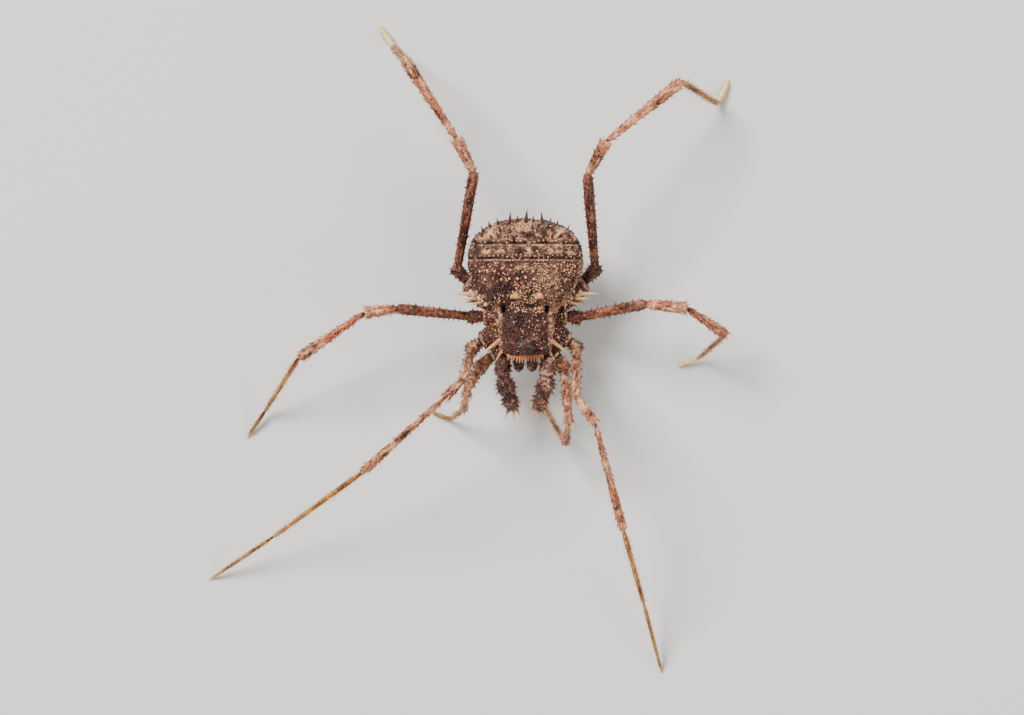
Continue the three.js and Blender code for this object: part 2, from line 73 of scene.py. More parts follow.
class Side(Enum):
    """One side of the animal, with the sign of its X."""

    LEFT = 1
    RIGHT = -1

    @property
    def word(self) -> str:
        """The side as a lower-case word."""
        return self.name.lower()


class Segment(Enum):
    """The five segments of a leg, from the hip to the claw."""

    FEMUR = "femur"
    PATELLA = "patella"
    TIBIA = "tibia"
    METATARSUS = "metatarsus"
    TARSUS = "tarsus"

    @property
    def slot(self) -> str:
        """The record's material slot."""
        return SEGMENT_SLOTS[self]

    @property
    def word(self) -> str:
        """The segment as a lower-case word."""
        return self.value


SEGMENT_SLOTS = {
    Segment.FEMUR: "thigh",
    Segment.PATELLA: "shin",
    Segment.TIBIA: "shin",
    Segment.METATARSUS: "ankle",
    Segment.TARSUS: "foot",
}


class Bench:
    """Steps of modelling that every piece shares."""

    @staticmethod
    def deselect() -> None:
        """Leaves nothing selected, in object mode."""
        if bpy.context.mode != "OBJECT":
            bpy.ops.object.mode_set(mode="OBJECT")
        bpy.ops.object.select_all(action="DESELECT")

    @staticmethod
    def take(*objects: bpy.types.Object) -> None:
        """Selects only these objects, with the first one active.

        Args:
            *objects: The objects.
        """
        Bench.deselect()
        for obj in objects:
            obj.select_set(True)
        bpy.context.view_layer.objects.active = objects[0]

    @staticmethod
    @contextmanager
    def editing(obj: bpy.types.Object) -> Iterator[None]:
        """Keeps one object in edit mode.

        Args:
            obj: The object.

        Yields:
            Nothing, for as long as edit mode lasts.
        """
        Bench.take(obj)
        bpy.ops.object.mode_set(mode="EDIT")
        try:
            yield
        finally:
            bpy.ops.object.mode_set(mode="OBJECT")

    @staticmethod
    def select_where(obj: bpy.types.Object, test: Callable[[Vector], bool]) -> None:
        """Selects the vertices that pass a test on their place, in edit mode.

        Args:
            obj: The object in edit mode.
            test: Says for a vertex's place whether it is selected.
        """
        bpy.ops.mesh.select_mode(type="VERT")
        mesh = bmesh.from_edit_mesh(obj.data)
        for vertex in mesh.verts:
            vertex.select = test(vertex.co)
        mesh.select_flush_mode()
        bmesh.update_edit_mesh(obj.data)

    @staticmethod
    def select_end_face(obj: bpy.types.Object, axis: int) -> None:
        """Selects only the face whose middle lies furthest along an axis, in edit mode.

        Args:
            obj: The object in edit mode.
            axis: The number of the axis, from 0 to 2.
        """
        bpy.ops.mesh.select_mode(type="FACE")
        bpy.ops.mesh.select_all(action="DESELECT")
        mesh = bmesh.from_edit_mesh(obj.data)
        face = max(mesh.faces, key=lambda f: f.calc_center_median()[axis])
        face.select = True
        bmesh.update_edit_mesh(obj.data)

    @staticmethod
    def modify(obj: bpy.types.Object, kind: str, **settings: object) -> None:
        """Adds a modifier with these settings and applies it.

        Args:
            obj: The object.
            kind: The modifier's type.
            **settings: Its settings by name.
        """
        Bench.take(obj)
        modifier = obj.modifiers.new(kind.title(), kind)
        for key, value in settings.items():
            setattr(modifier, key, value)
        bpy.ops.object.modifier_apply(modifier=modifier.name)

    @staticmethod
    def subdivide(obj: bpy.types.Object, levels: int) -> None:
        """Smooths the form with a subdivision surface."""
        Bench.modify(obj, "SUBSURF", levels=levels, render_levels=levels)

    @staticmethod
    def roughen(obj: bpy.types.Object, texture: bpy.types.Texture, strength: float) -> None:
        """Pushes the surface in and out by a texture, by this many millimetres from end to end."""
        Bench.modify(obj, "DISPLACE", texture=texture, strength=strength, mid_level=0.5,
                     texture_coords="LOCAL")

    @staticmethod
    def join(name: str, pieces: Sequence[bpy.types.Object]) -> bpy.types.Object:
        """Joins meshes into one object under a new name.

        Args:
            name: The new name.
            pieces: The objects, one or more.

        Returns:
            The joined object.
        """
        Bench.take(*pieces)
        if len(pieces) > 1:
            bpy.ops.object.join()
        pieces[0].name = name
        pieces[0].data.name = name
        return pieces[0]

    @staticmethod
    def point_along(obj: bpy.types.Object, start: Vector, end: Vector, side: Vector = UP) -> None:
        """Turns a form that stands on +Z so that it runs from start to end, and applies that.

        Args:
            obj: The form, modelled from the origin up.
            start: Where its foot goes.
            end: A point that its axis runs through.
            side: The direction that the form's own +X side is turned to as far as it can be.
        """
        Bench.take(obj)
        obj.matrix_world = pose(start, end - start, side)
        bpy.ops.object.transform_apply(location=True, rotation=True, scale=True)

    @staticmethod
    def smooth(obj: bpy.types.Object, angle: float = 50.0) -> None:
        """Shades smooth, but for edges sharper than an angle in degrees."""
        Bench.take(obj)
        bpy.ops.object.shade_smooth_by_angle(angle=math.radians(angle))

    @staticmethod
    def settle(obj: bpy.types.Object, offset: Vector) -> bpy.types.Object:
        """Moves a finished piece from the bench into the part's frame, in metres.

        Args:
            obj: The piece, on the bench.
            offset: Where the body's own zero lies in the frame.

        Returns:
            The same piece.
        """
        Bench.take(obj)
        obj.matrix_world = Matrix.Scale(MM, 4) @ Matrix.Translation(offset)
        bpy.ops.object.transform_apply(location=True, rotation=True, scale=True)
        return obj


def pose(place: Vector, direction: Vector, side: Vector = UP) -> Matrix:
    """The turn and shift that set a form standing on +Z along a direction at a place.

    Args:
        place: Where the form's foot goes.
        direction: Where its +Z goes.
        side: Where its +X goes as far as it can.

    Returns:
        The matrix.
    """
    z = direction.normalized()
    x = side - side.dot(z) * z
    if x.length < CLOSE:
        x = Vector((1.0, 0.0, 0.0)) - z.x * z
    x.normalize()
    y = z.cross(x)
    turn = Matrix((x, y, z)).transposed().to_4x4()
    return Matrix.Translation(place) @ turn


def paint(obj: bpy.types.Object, name: str, values: np.ndarray) -> None:
    """Stores one number per vertex under a name that materials read."""
    layer = obj.data.attributes.new(name, "FLOAT", "POINT")
    layer.data.foreach_set("value", np.asarray(values, np.float32))


def places(obj: bpy.types.Object) -> np.ndarray:
    """The places of an object's vertices, one row each.

    Args:
        obj: The object.

    Returns:
        Its vertices' places.
    """
    flat = np.empty(len(obj.data.vertices) * 3, np.float32)
    obj.data.vertices.foreach_get("co", flat)
    return flat.reshape(-1, 3).astype(float)


def clouds(name: str, size: float) -> bpy.types.Texture:
    """A soft noise for displacement.

    Args:
        name: The texture's name.
        size: How many millimetres its lumps are across, more or less.

    Returns:
        The texture.
    """
    texture = bpy.data.textures.new(name, "CLOUDS")
    texture.noise_scale = size
    texture.noise_depth = 2
    return texture


@dataclass(frozen=True)
class Ring:
    """One ring of a limb on the bench: its height, its radius and how far its middle is moved."""

    height: float
    radius: float
    shift: float = 0.0


class Tube:
    """A closed tube with round ends, made from a cylinder by extruding it ring by ring."""

    @staticmethod
    def build(name: str, rings: Sequence[Ring], sides: int) -> bpy.types.Object:
        """Models the tube standing on +Z.

        Args:
            name: The object's name.
            rings: The rings from the foot up.
            sides: How many sides the cylinder has.

        Returns:
            The new object.
        """
        Bench.deselect()
        first, second = rings[0], rings[1]
        bpy.ops.mesh.primitive_cylinder_add(
            vertices=sides, radius=first.radius, depth=second.height - first.height,
            location=(first.shift, 0.0, (first.height + second.height) / 2), end_fill_type="NGON",
        )
        tube = bpy.context.active_object
        tube.name = name
        Bench.take(tube)
        bpy.ops.object.transform_apply(location=True, rotation=True, scale=True)
        with Bench.editing(tube):
            Bench.select_end_face(tube, 2)
            Tube._widen(first, second)
            for before, after in zip(rings[1:], rings[2:]):
                step = (0.0, 0.0, after.height - before.height)
                bpy.ops.mesh.extrude_region_move(TRANSFORM_OT_translate={"value": step})
                Tube._widen(before, after)
        return tube

    @staticmethod
    def _widen(before: Ring, after: Ring) -> None:
        """Gives the selected end the next ring's radius and shift.

        Args:
            before: The ring that the end has.
            after: The ring that it gets.
        """
        ratio = after.radius / before.radius
        bpy.ops.transform.resize(value=(ratio, ratio, 1.0), center_override=(before.shift, 0.0, after.height))
        bpy.ops.transform.translate(value=(after.shift - before.shift, 0.0, 0.0))


class Skin:
    """A finished form that small things grow from, with an unwrap of its own round an axis."""

    def __init__(self, obj: bpy.types.Object, start: Vector, end: Vector, band: tuple[float, float],
                 side: Vector = UP) -> None:
        """Reads the form.

        Args:
            obj: The form, on the bench.
            start: The start of its axis.
            end: The end of its axis.
            band: The stretch of the unwrap's height that this form takes.
            side: The direction from which angles round the axis are counted.
        """
        depsgraph = bpy.context.evaluated_depsgraph_get()
        self.tree = BVHTree.FromObject(obj, depsgraph)
        self.start = start
        self.end = end
        self.band = band
        self.frame = pose(start, end - start, side).to_3x3()

    def root(self, along: float, angle: float) -> Optional["Root"]:
        """Where a line from the axis leaves the form.

        Args:
            along: The place along the axis, from 0 to 1.
            angle: The angle round the axis, in radians.

        Returns:
            The root there, or None where the line meets nothing.
        """
        out = self.frame @ Vector((math.cos(angle), math.sin(angle), 0.0))
        centre = self.start.lerp(self.end, along)
        place, normal, _, _ = self.tree.ray_cast(centre + out * 6.0, -out)
        if place is None:
            return None
        if normal.dot(out) < 0:
            normal = -normal
        low, high = self.band
        place_on_map = (angle / (2 * math.pi) % 1.0, low + (high - low) * min(max(along, 0.0), 1.0))
        return Root(place, normal, (self.end - self.start).normalized(), place_on_map)


@dataclass(frozen=True)
class Root:
    """Where a small thing grows: its place, the normal there, the way on and its spot on the unwrap."""

    place: Vector
    normal: Vector
    onward: Vector
    spot: tuple[float, float]


@dataclass(frozen=True)
class Growth:
    """One small thing to be grown: its root, where it points, its length and its half width."""

    root: Root
    direction: Vector
    length: float
    radius: float


class SmallForm(Enum):
    """The small forms that are modelled once and copied, each as its sides and its rings from the foot up.

    A ring is its height, its radius and its sideways shift, on a form one unit high and in half width.
    """

    SPINE = (6, ((-0.25, 1.0, 0.0), (0.0, 1.0, 0.0), (0.22, 0.62, 0.0), (0.6, 0.36, -0.12),
                 (1.0, 0.06, -0.4)))
    THORN = (8, ((-0.25, 1.0, 0.0), (0.0, 1.0, 0.0), (0.15, 0.86, 0.0), (0.45, 0.62, 0.0), (0.75, 0.35, -0.1),
                 (1.0, 0.05, -0.3)))
    GRANULE = (7, ((-0.5, 0.9, 0.0), (0.25, 1.0, 0.0), (0.75, 0.72, 0.0), (1.0, 0.3, 0.0)))
    BRISTLE = (4, ((-0.1, 1.0, 0.0), (0.35, 0.8, -0.8), (0.72, 0.5, -2.6), (1.0, 0.12, -4.6)))


class FormKit:
    """Holds each small form, modelled once, and copies it to where it grows."""

    def __init__(self) -> None:
        """Models the forms."""
        self.forms = {form: self._model(form) for form in SmallForm}

    @staticmethod
    def _model(form: SmallForm) -> Form:
        """Models one form, reads it and removes the object.

        Args:
            form: The form.

        Returns:
            Its corners, one row each, and its faces.
        """
        sides, rings = form.value
        obj = Tube.build("form", [Ring(*ring) for ring in rings], sides)
        corners = places(obj)
        faces = [tuple(face.vertices) for face in obj.data.polygons]
        bpy.data.objects.remove(obj)
        return corners, faces

    def grow(self, name: str, form: SmallForm, growths: Sequence[Growth]) -> bpy.types.Object:
        """Copies a form to every growth and joins the copies.

        Args:
            name: The joined piece's name.
            form: The small form.
            growths: Where the copies stand.

        Returns:
            The joined piece, with the height on each copy in the attribute tip.
        """
        corners, faces = self.forms[form]
        count = len(corners)
        all_corners, all_faces, spots = [], [], []
        for index, growth in enumerate(growths):
            matrix = np.array(pose(growth.root.place, growth.direction, growth.root.onward))
            scaled = corners * (growth.radius, growth.radius, growth.length)
            all_corners.append(scaled @ matrix[:3, :3].T + matrix[:3, 3])
            all_faces.extend(tuple(corner + index * count for corner in face) for face in faces)
            spots.append(growth.root.spot)
        mesh = bpy.data.meshes.new(name)
        mesh.from_pydata(np.concatenate(all_corners).tolist(), [], all_faces)
        piece = bpy.data.objects.new(name, mesh)
        bpy.context.scene.collection.objects.link(piece)
        paint(piece, "tip", np.tile(np.clip(corners[:, 2], 0.0, 1.0), len(growths)))
        paint(piece, "shade", np.repeat(np.random.default_rng(len(growths)).random(len(growths)), count))
        self._map(mesh, corners, np.array(spots), count)
        return piece

    @staticmethod
    def _map(mesh: bpy.types.Mesh, corners: np.ndarray, spots: np.ndarray, count: int) -> None:
        """Gives every copy a small patch of the bake map at its root's spot.

        Args:
            mesh: The joined mesh.
            corners: The corners of one copy.
            spots: The copies' spots on the map, one row each.
            count: How many corners a copy has.
        """
        layer = mesh.uv_layers.new(name=BAKE_UV)
        around = np.arctan2(corners[:, 1], corners[:, 0]) / (2 * math.pi) + 0.5
        own = np.stack([around, np.clip(corners[:, 2], 0.0, 1.0)], axis=1) * PATCH
        loops = np.empty(len(mesh.loops), np.int32)
        mesh.loops.foreach_get("vertex_index", loops)
        low = spots * (1.0 - PATCH)
        uv = low[loops // count] + own[loops % count]
        layer.data.foreach_set("uv", uv.astype(np.float32).ravel())


def anywhere(place: Vector, normal: Vector) -> float:
    """Lets small things grow at every place alike."""
    return 1.0


@dataclass(frozen=True)
class Spread:
    """How small things are spread over a skin: their distance and their ranges of size, in millimetres."""

    spacing: float
    length: tuple[float, float]
    radius: tuple[float, float]
    lean: float
    seed: int
    tries: int = 4000
    along: tuple[float, float] = (0.0, 1.0)
    keep: Callable[[Vector, Vector], float] = anywhere

    def over(self, skin: Skin, floor: float = -99.0) -> list[Growth]:
        """Throws roots onto a skin and keeps those that stand clear of one another.

        Args:
            skin: The skin they grow from.
            floor: Nothing reaches below this height.

        Returns:
            The growths.
        """
        draw = np.random.default_rng(self.seed)
        taken: dict[tuple[int, int, int], list[Vector]] = {}
        growths: list[Growth] = []
        for _ in range(self.tries):
            along = float(draw.uniform(*self.along))
            root = skin.root(along, float(draw.uniform(0.0, 2 * math.pi)))
            chance, size, stretch, sway = draw.random(4)
            if root is None or chance > self.keep(root.place, root.normal):
                continue
            cell = tuple(int(math.floor(value / self.spacing)) for value in root.place)
            if self._crowded(taken, cell, root.place):
                continue
            taken.setdefault(cell, []).append(root.place)
            turned = root.normal + root.onward * (self.lean * (0.7 + 0.6 * sway))
            length = self.length[0] + (self.length[1] - self.length[0]) * stretch
            if (root.place + turned.normalized() * length).z < floor or root.place.z < floor:
                continue
            radius = self.radius[0] + (self.radius[1] - self.radius[0]) * size
            growths.append(Growth(root, turned, float(length), float(radius)))
        return growths

    def _crowded(self, taken: dict[tuple[int, int, int], list[Vector]], cell: tuple[int, int, int],
                 place: Vector) -> bool:
        """Whether a place lies within the spacing of one that is taken.

        Args:
            taken: The places taken so far, by cell.
            cell: The place's own cell.
            place: The place.

        Returns:
            True where it is too near another.
        """
        for dx in (-1, 0, 1):
            for dy in (-1, 0, 1):
                for dz in (-1, 0, 1):
                    for other in taken.get((cell[0] + dx, cell[1] + dy, cell[2] + dz), ()):
                        if (other - place).length < self.spacing:
                            return True
        return False


class Nodes:
    """Adds nodes to one tree and wires them up."""

    def __init__(self, tree: bpy.types.NodeTree) -> None:
        """Takes the tree that the nodes go into."""
        self.tree = tree

    def feed(self, node: bpy.types.Node, inputs: dict[Union[str, int], Value]) -> None:
        """Links or sets a node's inputs.

        Args:
            node: The node.
            inputs: For an input's name or number, the socket that feeds it or its own value.
        """
        for key, value in inputs.items():
            if isinstance(value, Socket):
                self.tree.links.new(value, node.inputs[key])
            elif isinstance(value, tuple):
                node.inputs[key].default_value = (*value, 1.0)
            else:
                node.inputs[key].default_value = value

    def add(self, kind: str, inputs: dict[Union[str, int], Value], **settings: object) -> bpy.types.Node:
        """Adds a node.

        Args:
            kind: Its type.
            inputs: What feeds its inputs.
            **settings: Its settings by name.

        Returns:
            The node.
        """
        node = self.tree.nodes.new(kind)
        for key, value in settings.items():
            setattr(node, key, value)
        self.feed(node, inputs)
        return node

    def speckle(self, place: Socket, scale: Value, detail: float, roughness: float = 0.6) -> Socket:
        """Reads a soft noise at a place."""
        inputs = {"Vector": place, "Scale": scale, "Detail": detail, "Roughness": roughness}
        return self.add("ShaderNodeTexNoise", inputs).outputs["Fac"]

    def ramp(self, value: Socket, low: float, high: float, start: float = 0.0, end: float = 1.0) -> Socket:
        """Maps the stretch from low to high smoothly onto that from start to end, without leaving it."""
        inputs = {"Value": value, "From Min": low, "From Max": high, "To Min": start, "To Max": end}
        return self.add("ShaderNodeMapRange", inputs, interpolation_type="SMOOTHSTEP").outputs["Result"]

    def reckon(self, operation: str, first: Value, second: Value) -> Socket:
        """Works out a number from two others."""
        return self.add("ShaderNodeMath", {0: first, 1: second}, operation=operation).outputs["Value"]

    def blend(self, share: Socket, first: Value, second: Value) -> Socket:
        """Mixes two colours by a share."""
        return self.add("ShaderNodeMix", {0: share, 6: first, 7: second}, data_type="RGBA").outputs[2]

    def painted(self, name: str) -> Socket:
        """Reads a painted attribute."""
        return self.add("ShaderNodeAttribute", {}, attribute_name=name).outputs["Fac"]

    def bump(self, height: Socket, strength: float, distance: float) -> Socket:
        """Turns a height into a normal, with 1 standing this many millimetres out."""
        inputs = {"Height": height, "Strength": strength, "Distance": distance * MM}
        return self.add("ShaderNodeBump", inputs).outputs["Normal"]


class NodeKit:
    """Shader node groups that several finishes share."""

    def __init__(self) -> None:
        """Builds each group once."""
        self.mottle = self._mottle()
        self.grains = self._grains()
        self.dust = self._dust()

    @staticmethod
    def _start(name: str, inputs: dict[str, str],
               outputs: dict[str, str]) -> tuple[Nodes, bpy.types.NodeOutputs, bpy.types.Node]:
        """Starts a group.

        Args:
            name: Its name.
            inputs: The names of its inputs, each with its kind of socket.
            outputs: The same for its outputs.

        Returns:
            Its nodes, the sockets that its inputs come from, and its output node.
        """
        tree = bpy.data.node_groups.new(name, "ShaderNodeTree")
        for way, sockets in (("INPUT", inputs), ("OUTPUT", outputs)):
            for label, kind in sockets.items():
                tree.interface.new_socket(name=label, in_out=way, socket_type=f"NodeSocket{kind}")
        return Nodes(tree), tree.nodes.new("NodeGroupInput").outputs, tree.nodes.new("NodeGroupOutput")

    def _mottle(self) -> bpy.types.NodeTree:
        """Three colours in soft patches, coarse and fine together.

        Returns:
            The group.
        """
        inputs = {"Place": "Vector", "Scale": "Float", "Deep": "Color", "Middle": "Color", "High": "Color"}
        nodes, inside, out = self._start("Mottle", inputs, {"Color": "Color", "Share": "Float"})
        coarse = nodes.speckle(inside["Place"], inside["Scale"], 4.0)
        fine = nodes.speckle(inside["Place"], nodes.reckon("MULTIPLY", inside["Scale"], 5.0), 3.0, 0.7)
        coarse_share = nodes.reckon("MULTIPLY", coarse, 0.55)
        both = nodes.reckon("ADD", coarse_share, nodes.reckon("MULTIPLY", fine, 0.45))
        colour = nodes.blend(nodes.ramp(both, 0.42, 0.51), inside["Deep"], inside["Middle"])
        colour = nodes.blend(nodes.ramp(both, 0.53, 0.63), colour, inside["High"])
        nodes.feed(out, {"Color": colour, "Share": both})
        return nodes.tree

    def _grains(self) -> bpy.types.NodeTree:
        """Round grains of a size, each here or missing by chance, with their height.

        Returns:
            The group.
        """
        nodes, inside, out = self._start("Grains", {"Place": "Vector", "Scale": "Float", "Share": "Float"},
                                         {"Mask": "Float", "Height": "Float", "Chance": "Float"})
        place = {"Vector": inside["Place"], "Scale": inside["Scale"]}
        cells = nodes.add("ShaderNodeTexVoronoi", place).outputs
        chances = nodes.add("ShaderNodeSeparateColor", {"Color": cells["Color"]}).outputs
        present = nodes.reckon("LESS_THAN", chances["Red"], inside["Share"])
        mask = nodes.reckon("MULTIPLY", present, nodes.ramp(cells["Distance"], 0.22, 0.42, 1.0, 0.0))
        dome = nodes.ramp(cells["Distance"], 0.0, 0.5, 1.0, 0.0)
        nodes.feed(out, {"Mask": mask, "Height": dome, "Chance": chances["Green"]})
        return nodes.tree

    def _dust(self) -> bpy.types.NodeTree:
        """Pale dust, and a painted highlight, on what faces up, in broken patches.

        Returns:
            The group.
        """
        nodes, inside, out = self._start("Dust", {"Place": "Vector", "Scale": "Float", "Amount": "Float"},
                                         {"Mask": "Float"})
        normal = nodes.add("ShaderNodeNewGeometry", {}).outputs["Normal"]
        up = nodes.add("ShaderNodeSeparateXYZ", {"Vector": normal}).outputs["Z"]
        patches = nodes.ramp(nodes.speckle(inside["Place"], inside["Scale"], 5.0, 0.75), 0.5, 0.66)
        settled = nodes.reckon("MULTIPLY", nodes.ramp(up, 0.1, 0.9), patches)
        nodes.feed(out, {"Mask": nodes.reckon("MULTIPLY", settled, inside["Amount"])})
        return nodes.tree


def start_material(name: str) -> tuple[bpy.types.Material, Nodes, bpy.types.Node, Socket]:
    """Starts a material.

    Args:
        name: Its name.

    Returns:
        The material, its nodes, its shader, and the socket of the piece's own places.
    """
    material = bpy.data.materials.new(name)
    material.use_nodes = True
    nodes = Nodes(material.node_tree)
    place = nodes.add("ShaderNodeTexCoord", {}).outputs["Object"]
    return material, nodes, material.node_tree.nodes["Principled BSDF"], place


@dataclass(frozen=True)
class ShellFinish:
    """Dull, grained shell with three tones, painted pale and dark parts that include painted highlights and
    painted shade, pale grains that on the legs are also painted glints, and pale dust with a painted
    highlight on what faces up. Sizes are millimetres.
    """

    name: str
    deep: Colour
    middle: Colour
    high: Colour
    grain: Colour
    patch_size: float = 0.5
    grain_size: float = 0.07
    grain_share: float = 0.25
    # Colour of the pale dust and of the painted highlight on what faces up.
    dust: Colour = (0.42, 0.27, 0.16)
    dust_amount: float = 0.4
    roughness: tuple[float, float] = (0.45, 0.8)
    relief: float = 0.02
    pale: Colour = (0.45, 0.24, 0.12)
    dark: Colour = (0.012, 0.008, 0.009)
    dust_size: float = 0.35
    pore_size: float = 0.03
    gloss: float = 0.22

    def make(self, kit: NodeKit) -> bpy.types.Material:
        """Builds the material.

        Args:
            kit: The shared node groups.

        Returns:
            The material.
        """
        material, nodes, shader, place = start_material(self.name)
        mottle = nodes.add("ShaderNodeGroup", {
            "Place": place, "Scale": 0.35 / (self.patch_size * MM), "Deep": self.deep, "Middle": self.middle,
            "High": self.high,
        }, node_tree=kit.mottle).outputs
        grains = nodes.add("ShaderNodeGroup", {
            "Place": place, "Scale": 1.0 / (self.grain_size * MM), "Share": self.grain_share,
        }, node_tree=kit.grains).outputs
        # Pale dust and a painted highlight on what faces up.
        dust = nodes.add("ShaderNodeGroup", {
            "Place": place, "Scale": 1.0 / (self.dust_size * MM), "Amount": self.dust_amount,
        }, node_tree=kit.dust).outputs["Mask"]
        colour = nodes.blend(dust, mottle["Color"], self.dust)
        # The pale attribute: pale markings, and painted highlights on the legs and in front of the back's
        # grooves.
        broken = nodes.ramp(mottle["Share"], 0.36, 0.56, 0.25, 1.0)
        colour = nodes.blend(nodes.reckon("MULTIPLY", nodes.painted("pale"), broken), colour, self.pale)
        # Pale grains, which on the legs are also painted glints.
        uneven = nodes.ramp(grains["Chance"], 0.0, 1.0, 0.35, 1.0)
        colour = nodes.blend(nodes.reckon("MULTIPLY", grains["Mask"], uneven), colour, self.grain)
        pores = nodes.speckle(place, 1.0 / (self.pore_size * MM), 4.0, 0.7)
        height = nodes.reckon("ADD", grains["Height"], nodes.reckon("MULTIPLY", pores, 0.8))
        # The dark attribute: dark markings, and painted shade inside the back's grooves.
        nodes.feed(shader, {
            "Base Color": nodes.blend(nodes.painted("dark"), colour, self.dark),
            "Roughness": nodes.ramp(mottle["Share"], 0.35, 0.65, *self.roughness),
            "Specular IOR Level": self.gloss,
            "Normal": nodes.bump(height, 0.8, self.relief),
        })
        return material


@dataclass(frozen=True)
class HornFinish:
    """Spines and bristles, from the colour of the foot to that of the tip. Sizes are millimetres."""

    name: str
    foot: Colour
    tip: Colour
    tip_from: float = 0.3
    roughness: float = 0.5
    variety: float = 0.6
    speck_size: float = 0.05
    relief: float = 0.008

    def make(self) -> bpy.types.Material:
        """Builds the material.

        Returns:
            The material.
        """
        material, nodes, shader, place = start_material(self.name)
        colour = nodes.blend(nodes.ramp(nodes.painted("tip"), self.tip_from, 1.0), self.foot, self.tip)
        worn = nodes.ramp(nodes.painted("shade"), 0.25, 1.0, 0.0, self.variety)
        colour = nodes.blend(worn, colour, tuple(value * 0.3 for value in self.foot))
        specks = nodes.speckle(place, 1.0 / (self.speck_size * MM), 3.0)
        nodes.feed(shader, {
            "Base Color": nodes.blend(nodes.ramp(specks, 0.55, 0.7, 0.0, 0.35), colour, self.tip),
            "Roughness": self.roughness,
            "Normal": nodes.bump(specks, 0.4, self.relief),
        })
        return material


@dataclass(frozen=True)
class EyeFinish:
    """Black, wet-looking glass of the eye with a faint brown cloud in it."""

    name: str = "Eye gloss"
    colour: Colour = (0.004, 0.003, 0.003)
    cloud: Colour = (0.03, 0.018, 0.012)
    cloud_size: float = 0.12

    def make(self) -> bpy.types.Material:
        """Builds the material.

        Returns:
            The material.
        """
        material, nodes, shader, place = start_material(self.name)
        drift = nodes.speckle(place, 1.0 / (self.cloud_size * MM), 2.0)
        nodes.feed(shader, {
            "Base Color": nodes.blend(nodes.ramp(drift, 0.45, 0.7), self.colour, self.cloud),
            "Roughness": nodes.ramp(drift, 0.3, 0.7, 0.05, 0.16),
            "Coat Weight": 0.6,
            "Coat Roughness": 0.04,
        })
        return material


class LegLook(Enum):
    """The looks that a leg segment can have, each with its three tones from deep to high."""

    FRONT_FEMUR = ((0.02, 0.006, 0.004), (0.27, 0.08, 0.032), (0.88, 0.44, 0.22))
    HIND_FEMUR = ((0.012, 0.003, 0.002), (0.075, 0.014, 0.008), (0.34, 0.12, 0.065))
    PATELLA = ((0.05, 0.015, 0.008), (0.43, 0.135, 0.06), (0.98, 0.56, 0.32))
    TIBIA = ((0.04, 0.01, 0.005), (0.44, 0.115, 0.045), (0.96, 0.49, 0.26))
    RED_TIBIA = ((0.04, 0.008, 0.003), (0.4, 0.078, 0.022), (0.88, 0.36, 0.14))
    METATARSUS = ((0.13, 0.033, 0.005), (0.42, 0.12, 0.01), (0.78, 0.34, 0.04))
    LONG_TARSUS = ((0.07, 0.02, 0.005), (0.34, 0.12, 0.015), (0.72, 0.38, 0.08))
    DARK_TARSUS = ((0.02, 0.007, 0.003), (0.1, 0.03, 0.007), (0.38, 0.14, 0.025))
    CREAM_TARSUS = ((0.62, 0.38, 0.11), (0.98, 0.78, 0.34), (1.0, 0.93, 0.56))


